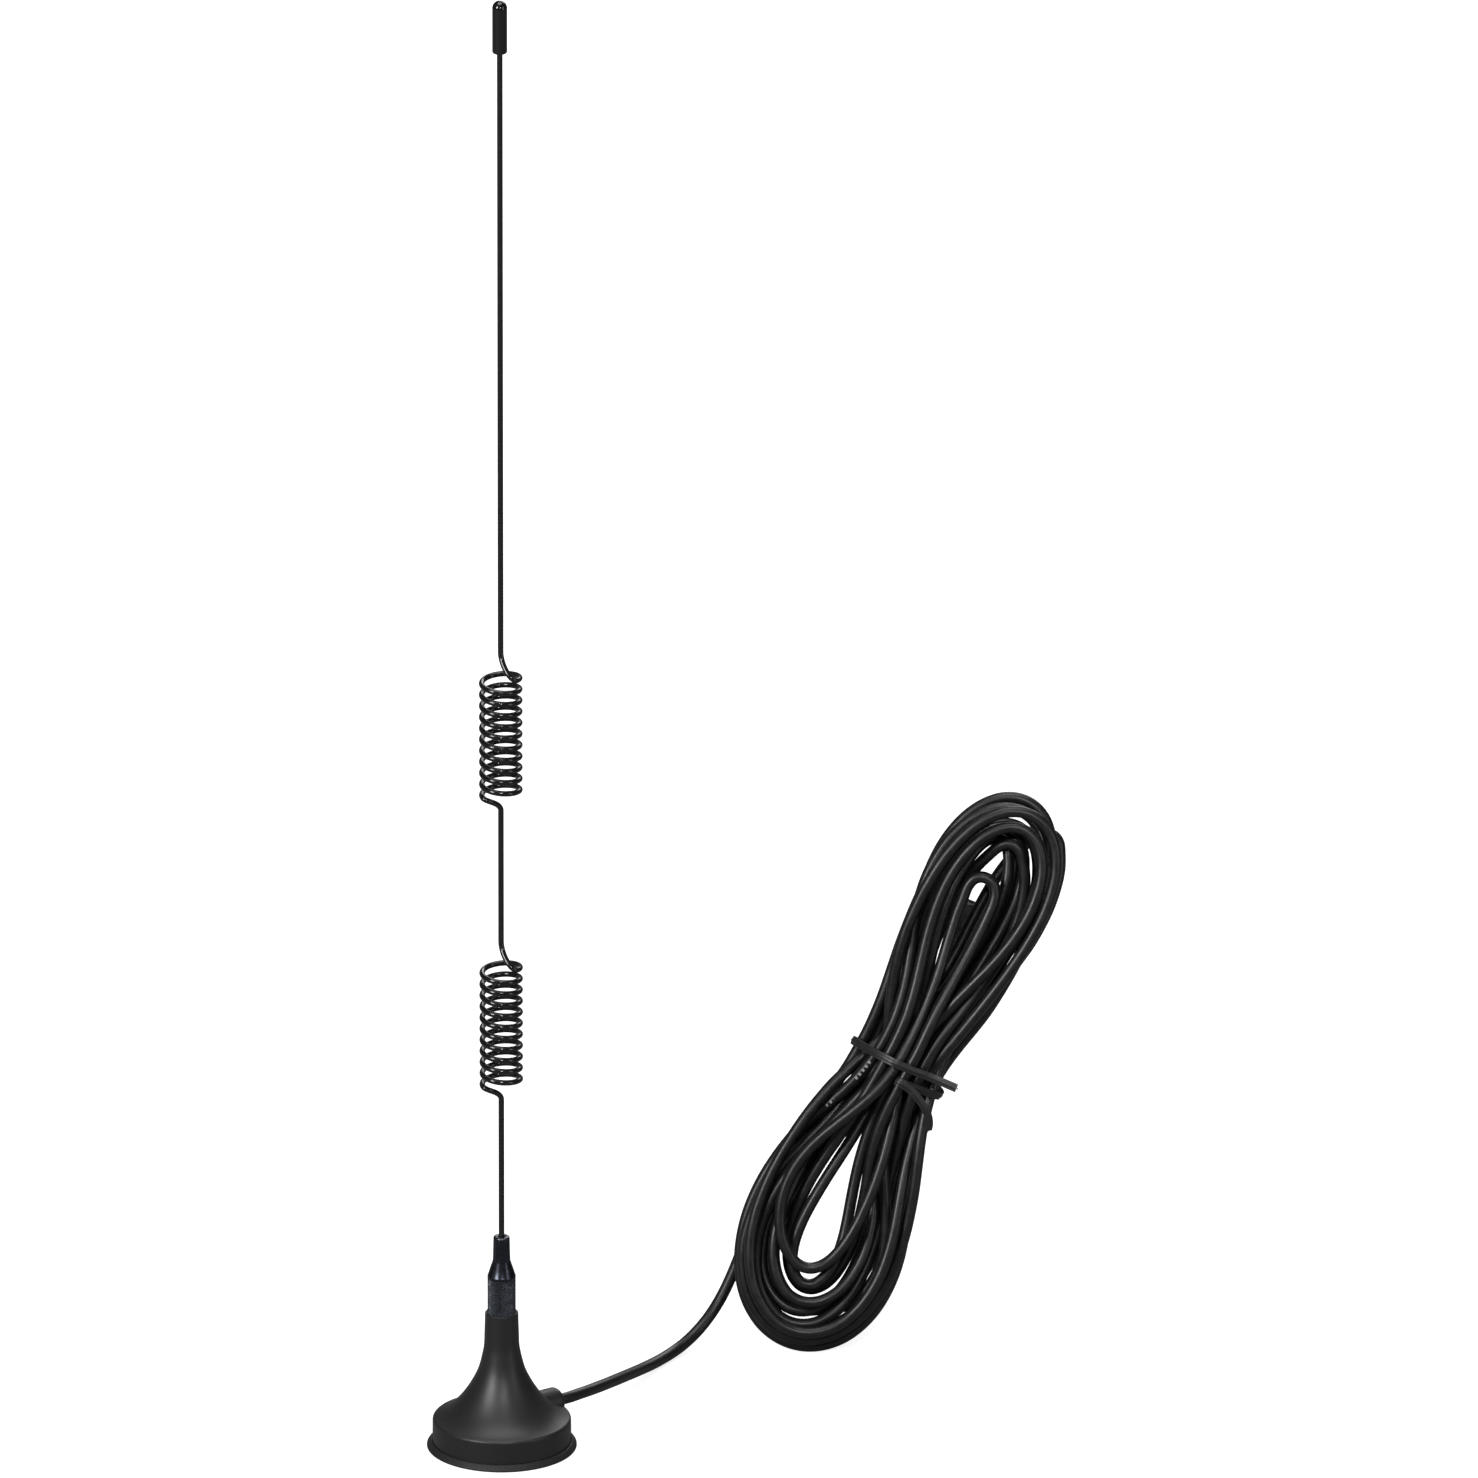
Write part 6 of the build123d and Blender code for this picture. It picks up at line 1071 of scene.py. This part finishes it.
# Tie centre line, two stations on a line: x y z, then direction across its width
TIE = table("""
90.946 53.971 55.289 .3902 .2566 .8842 90.215 54.222 55.538 .3886 .2571 .8848
89.480 54.447 55.795 .3868 .2577 .8854 88.739 54.646 56.059 .3850 .2581 .8861
87.995 54.816 56.332 .3829 .2586 .8869 87.247 54.955 56.613 .3807 .2589 .8877
86.497 55.065 56.902 .3787 .2592 .8885 85.746 55.135 57.200 .3753 .2594 .8899
84.997 55.139 57.512 .3696 .2591 .8923 84.260 55.054 57.839 .3645 .2582 .8947
83.535 54.914 58.175 .3636 .2580 .8951 82.820 54.732 58.512 .3544 .2553 .8996
82.122 54.528 58.870 .4043 .2695 .8740 81.426 54.355 59.250 .4044 .2695 .8740
80.714 54.229 59.617 .4052 .2696 .8736 79.992 54.152 59.978 .4092 .2699 .8716
79.261 54.132 60.329 .4123 .2698 .8702 78.520 54.218 60.656 .4183 .2684 .8677
77.813 54.510 60.910 .4239 .2652 .8660 77.146 54.935 61.107 .4244 .2649 .8659
76.503 55.396 61.281 .4247 .2646 .8658 75.882 55.895 61.434 .4249 .2645 .8657
75.281 56.423 61.567 .4250 .2644 .8657 74.701 56.978 61.682 .4249 .2645 .8657
74.143 57.558 61.779 .4249 .2646 .8657 73.607 58.162 61.858 .4247 .2648 .8658
73.094 58.787 61.918 .4244 .2651 .8658 72.606 59.434 61.959 .4242 .2655 .8658
72.146 60.102 61.979 .4238 .2660 .8658 71.718 60.790 61.977 .4233 .2668 .8658
71.324 61.499 61.950 .4228 .2678 .8658 70.971 62.227 61.897 .4222 .2691 .8656
70.662 62.973 61.815 .4216 .2708 .8654 70.403 63.732 61.702 .4209 .2732 .8650
70.206 64.506 61.553 .4203 .2758 .8645 70.135 65.285 61.333 .4216 .2898 .8592
70.348 65.982 60.982 .4298 .3061 .8495 70.719 66.581 60.573 .4350 .3133 .8442
71.141 67.129 60.151 .4370 .3158 .8422 71.589 67.650 59.721 .4391 .3180 .8403
72.062 68.145 59.285 .4410 .3200 .8386 72.554 68.616 58.845 .4428 .3217 .8369
73.064 69.064 58.402 .4448 .3233 .8353 73.592 69.488 57.955 .4467 .3248 .8336
74.136 69.888 57.506 .4488 .3263 .8319 74.696 70.264 57.055 .4510 .3277 .8302
75.270 70.615 56.603 .4533 .3290 .8284 75.859 70.940 56.150 .4559 .3303 .8265
76.463 71.237 55.697 .4586 .3316 .8245 77.081 71.503 55.244 .4622 .3330 .8219
77.714 71.729 54.793 .4663 .3343 .8190 78.368 71.916 54.342 .4734 .3358 .8143
79.054 71.927 53.921 .5072 .3296 .7963 79.748 71.694 53.560 .5285 .3204 .7862
80.414 71.359 53.243 .5373 .3156 .7821 81.066 70.982 52.943 .5419 .3129 .7800
81.707 70.574 52.659 .5465 .3098 .7780 82.335 70.137 52.389 .5505 .3069 .7764
82.950 69.675 52.133 .5544 .3039 .7748 83.552 69.189 51.890 .5581 .3008 .7733
84.140 68.680 51.661 .5618 .2975 .7719 84.714 68.148 51.446 .5655 .2940 .7706
85.271 67.594 51.246 .5692 .2902 .7693 85.811 67.018 51.061 .5731 .2858 .7680
86.329 66.417 50.894 .5775 .2806 .7667 86.826 65.793 50.745 .5817 .2750 .7655
87.272 65.124 50.635 .5938 .2538 .7635 87.593 64.379 50.612 .6059 .2157 .7657
87.760 63.589 50.685 .6102 .1893 .7693 87.867 62.791 50.793 .6111 .1812 .7705
87.933 61.994 50.923 .6117 .1707 .7724 87.958 61.197 51.074 .6118 .1616 .7743
87.942 60.405 51.246 .6113 .1508 .7769 87.886 59.619 51.439 .6106 .1427 .7790
87.767 58.848 51.661 .6041 .1154 .7885 87.489 58.141 51.951 .5809 .0736 .8106
87.040 57.565 52.298 .5531 .0443 .8319 86.519 57.060 52.666 .5465 .0382 .8366
85.977 56.585 53.036 .5389 .0319 .8418 85.409 56.145 53.412 .5322 .0269 .8462
84.822 55.733 53.790 .5257 .0226 .8504 84.216 55.350 54.170 .5192 .0186 .8545
83.594 54.995 54.552 .5123 .0149 .8587 82.957 54.671 54.934 .5052 .0115 .8629
82.304 54.377 55.316 .4986 .0087 .8668 81.636 54.117 55.695 .4842 .0035 .8749
80.958 53.890 56.077 .5024 .0092 .8646 80.285 53.684 56.478 .5106 .0117 .8598
79.605 53.476 56.880 .5036 .0096 .8639 79.011 53.113 57.280 .5793 .1171 .8067
78.913 52.364 57.535 .5507 .2453 .7978 79.379 51.723 57.454 .4874 .2867 .8248
80.086 51.634 57.096 .4814 .2856 .8287 80.711 51.811 56.610 .5694 .3165 .7587
81.287 51.988 56.067 .6168 .3288 .7152 81.850 52.101 55.493 .6614 .3362 .6705
82.390 52.163 54.891 .7030 .3400 .6247 82.905 52.190 54.264 .7337 .3412 .5876
83.397 52.198 53.618 .7575 .3417 .5563 83.860 52.201 52.952 .7842 .3422 .5176
84.286 52.206 52.262 .8131 .3433 .4701 84.664 52.219 51.543 .8427 .3456 .4129
84.984 52.247 50.797 .8710 .3498 .3451 85.233 52.293 50.024 .8957 .3568 .2653
85.400 52.355 49.230 .9148 .3668 .1693 85.471 52.427 48.425 .9234 .3799 .0548
85.430 52.501 47.619 .9152 .3955 -.0778 85.266 52.571 46.820 .8831 .4121 -.2241
""", columns=6)


def resample(values, stations, places):
    """Smooth cubic through values given at stations, read at places."""
    slopes = np.gradient(values, stations, axis=0)
    i = np.clip(np.searchsorted(stations, places, side="right") - 1, 0, len(stations) - 2)
    gap = (stations[i + 1] - stations[i])[:, None]
    share = (places - stations[i])[:, None] / gap
    return hermite(share, values[i], gap * slopes[i], values[i + 1], gap * slopes[i + 1])


def tie_section():
    """(across, thickness) outline: thin edges, flat webs and a raised middle rib."""
    quarter = [
        (-TIE_HALF_WIDTH, 0.0), (-TIE_HALF_WIDTH + 0.03, 0.09),
        (-TIE_HALF_WIDTH + 0.10, TIE_HALF_WEB), (-0.60, TIE_HALF_WEB * 0.95),
        (-0.45, TIE_HALF_WEB), (-0.34, TIE_HALF_WEB + 0.04), (-0.24, TIE_HALF_RIB - 0.03),
        (-0.11, TIE_HALF_RIB),
    ]
    half = quarter + [(-a, b) for a, b in reversed(quarter)]
    return np.array(half + [(a, -b) for a, b in half[-2:0:-1]])


def make_tie():
    stations = distances(TIE[:, :3])
    along = np.linspace(0, stations[-1], int(stations[-1] / TIE_STEP))
    line = resample(TIE[:, :3], stations, along)
    headings = unit(np.gradient(line, axis=0))
    width = resample(TIE[:, 3:], stations, along)
    width = unit(width - np.sum(width * headings, 1)[:, None] * headings)
    normal = np.cross(headings, width)
    outline = tie_section()
    wobble = 0.025 * np.sin(along / 1.9) + 0.015 * np.sin(along / 0.83 + 0.7)
    sections = (
        line[:, None]
        + outline[None, :, 0, None] * (1 + wobble[:, None, None]) * width[:, None]
        + outline[None, :, 1, None] * normal[:, None]
    )
    install(bar("twist_tie_strip", sections, crease_degrees=60), "twist_tie_ribbon", "base")

    first, last = headings[:1], headings[-1:]
    wire_line = np.vstack([line[:1] - first * TIE_WIRE_STICKOUT, line,
                           line[-1:] + last * TIE_WIRE_STICKOUT])
    wire = tube("twist_tie_core", wire_line, np.vstack([first, headings, last]),
                radius=TIE_WIRE_RADIUS, sides=10)
    install(wire, "twist_tie_wire", "base")


make_tie()

# ------------------------------------------------------------------ heat-shrink sleeve
SHRINK_PHASES = np.random.default_rng(7).uniform(0, 2 * np.pi, 24)


def shrink_shift(angle, radius, z):
    """Soft creases on the outside of the sleeve."""
    if radius <= 1.5:
        return 0.0
    change = 0.012 * math.sin(z * 2.3 + 0.4) * np.cos(angle + SHRINK_PHASES[7])
    for i in range(6):
        change = change + 0.010 * np.sin(
            (i + 2) * angle + SHRINK_PHASES[i] + z * (0.6 + 0.25 * i))
    return change


# (radius, distance along the plug axis): cable end, shoulder, wide end, then back inside
SHRINK_PROFILE = [
    (1.29, -1.18), (1.36, -1.22), (1.50, -1.20), (1.57, -1.12), (1.60, -1.0),
    *straight((1.60, -0.9), (1.60, 1.2), 0.25),
    (1.62, 1.35), (1.75, 1.52), (2.02, 1.85), (2.24, 2.12), (2.34, 2.32),
    *straight((2.35, 2.45), (2.35, 8.15), 0.25),
    (2.33, 8.26), (2.26, 8.32), (2.12, 8.30), (2.07, 8.25), (2.07, 1.66), (2.0, 1.62),
    (1.34, 1.50), (1.29, 1.42),
]
sleeve = turned("heat_shrink_sleeve", SHRINK_PROFILE, segments=72, crease_degrees=45,
                origin=PLUG_ORIGIN, axis=PLUG_AXIS, shift=shrink_shift)
install(sleeve, "heat_shrink", "base")

# ------------------------------------------------------------------ thread ridge inside the nut
RIDGE_RADIUS, RIDGE_START = 2.85, 16.25  # start is along the plug axis
RIDGE_TURNS, RIDGE_STEPS, RIDGE_PITCH = 5.2, 60, 0.7056  # steps are per turn
RIDGE_HEIGHT, RIDGE_FADE_STEPS = 0.10, 20.0


def nut_ridge_sections():
    x, y = across(PLUG_AXIS)
    sections = []
    steps = RIDGE_TURNS * RIDGE_STEPS
    for i in range(int(steps) + 1):
        angle = 2 * math.pi * i / RIDGE_STEPS
        z = RIDGE_START + RIDGE_PITCH * i / RIDGE_STEPS
        height = RIDGE_HEIGHT * min(1.0, i / RIDGE_FADE_STEPS, (steps - i) / RIDGE_FADE_STEPS)
        spoke = np.cos(angle) * x + np.sin(angle) * y
        sections.append([
            PLUG_ORIGIN + (RIDGE_RADIUS + dr) * spoke + (z + dz) * PLUG_AXIS
            for dr, dz in ((0.02, -0.24), (-height, -0.05), (-height, 0.05), (0.02, 0.24))
        ])
    return np.array(sections)


ridge = bar("nut_thread_ridge", nut_ridge_sections(), crease_degrees=40)
install(ridge, "sma_coupling_nut", "nut", replaces=False)


# ------------------------------------------------------------------ floor and world (metres)
def floor_material():
    """Near white to the camera, fading brighter far out; grey in bounced light."""
    made, g = new_material("floor_white")
    seen = g.node("ShaderNodeLightPath").outputs["Is Camera Ray"]
    bounce_colour, seen_colour = (0.20, 0.20, 0.205), (0.46, 0.46, 0.46)
    away = g.node("ShaderNodeVectorMath", {0: g.coords()}, operation="LENGTH").outputs["Value"]
    glow = g.remap(away, span=(260.0, 900.0), to=(0.80, 1.02))
    g.surface({
        "Base Color": g.mix(seen, bounce_colour, seen_colour),
        "Roughness": 0.9,
        "Specular IOR Level": 0.1,
        "Emission Color": (1, 1, 1, 1),
        "Emission Strength": g.math("MULTIPLY", seen, glow),
    })
    return made


def make_floor():
    half, z = 12.0, -0.00002
    mesh = bpy.data.meshes.new("floor")
    corners = [(-half, -half, z), (half, -half, z), (half, half, z), (-half, half, z)]
    mesh.from_pydata(corners, [], [(0, 1, 2, 3)])
    floor = bpy.data.objects.new("floor", mesh)
    bpy.context.scene.collection.objects.link(floor)
    mesh.materials.append(floor_material())


def make_world():
    """White behind the scene, dim grey as light."""
    world = bpy.data.worlds.new("studio")
    bpy.context.scene.world = world
    g = Graph(world)
    seen = g.node("ShaderNodeLightPath").outputs["Is Camera Ray"]
    light_colour, seen_colour = (0.085, 0.087, 0.092), (1.0, 1.0, 1.0)
    colour = g.mix(seen, light_colour, seen_colour)
    background = g.node("ShaderNodeBackground", {"Color": colour, "Strength": 1.0})
    g.node("ShaderNodeOutputWorld", {0: background.outputs[0]})


make_floor()
make_world()


# ------------------------------------------------------------------ lights and camera (metres)
def aim(ob, place, target):
    ob.location = place
    ob.rotation_euler = (Vector(target) - Vector(place)).to_track_quat("-Z", "Y").to_euler()
    bpy.context.scene.collection.objects.link(ob)


def softbox(name, place, target, size, power):
    light = bpy.data.lights.new(name, "AREA")
    light.shape = "RECTANGLE"
    light.size, light.size_y = size
    light.energy = power
    aim(bpy.data.objects.new(name, light), place, target)


softbox("key", place=(-0.98, -1.02, 0.82), target=(0.04, 0.02, 0.10), size=(0.45, 0.70),
        power=20.0)
softbox("fill", place=(1.05, -0.70, 0.40), target=(0.04, 0.02, 0.12), size=(0.35, 0.9),
        power=2.4)
softbox("top", place=(0.0, 0.05, 1.40), target=(0.04, 0.03, 0.0), size=(0.9, 0.9), power=10.0)
softbox("back", place=(0.35, 1.20, 0.80), target=(0.05, 0.02, 0.12), size=(0.9, 0.5), power=5.0)
softbox("spark", place=(0.16, -1.10, 0.86), target=(0.04, 0.02, 0.14), size=(0.10, 0.10),
        power=5.0)

CAMERA_ELEVATION = math.radians(21.2)
CAMERA_TARGET = Vector((0.04738, 0.0, 0.15128))
CAMERA_DISTANCE = 12.0
VIEW_WIDTH = 0.29396  # width in view at the target
SENSOR_WIDTH = 36.0  # mm


def make_camera():
    lens = bpy.data.cameras.new("camera")
    lens.sensor_width = SENSOR_WIDTH
    lens.lens = SENSOR_WIDTH * CAMERA_DISTANCE / VIEW_WIDTH
    lens.clip_start, lens.clip_end = 0.05, 60.0
    camera = bpy.data.objects.new("camera", lens)
    back = Vector((0, -math.cos(CAMERA_ELEVATION), math.sin(CAMERA_ELEVATION)))
    aim(camera, CAMERA_TARGET + CAMERA_DISTANCE * back, CAMERA_TARGET)
    scene = bpy.context.scene
    scene.camera = camera
    scene.view_settings.view_transform = "Standard"
    scene.view_settings.look = "None"


make_camera()
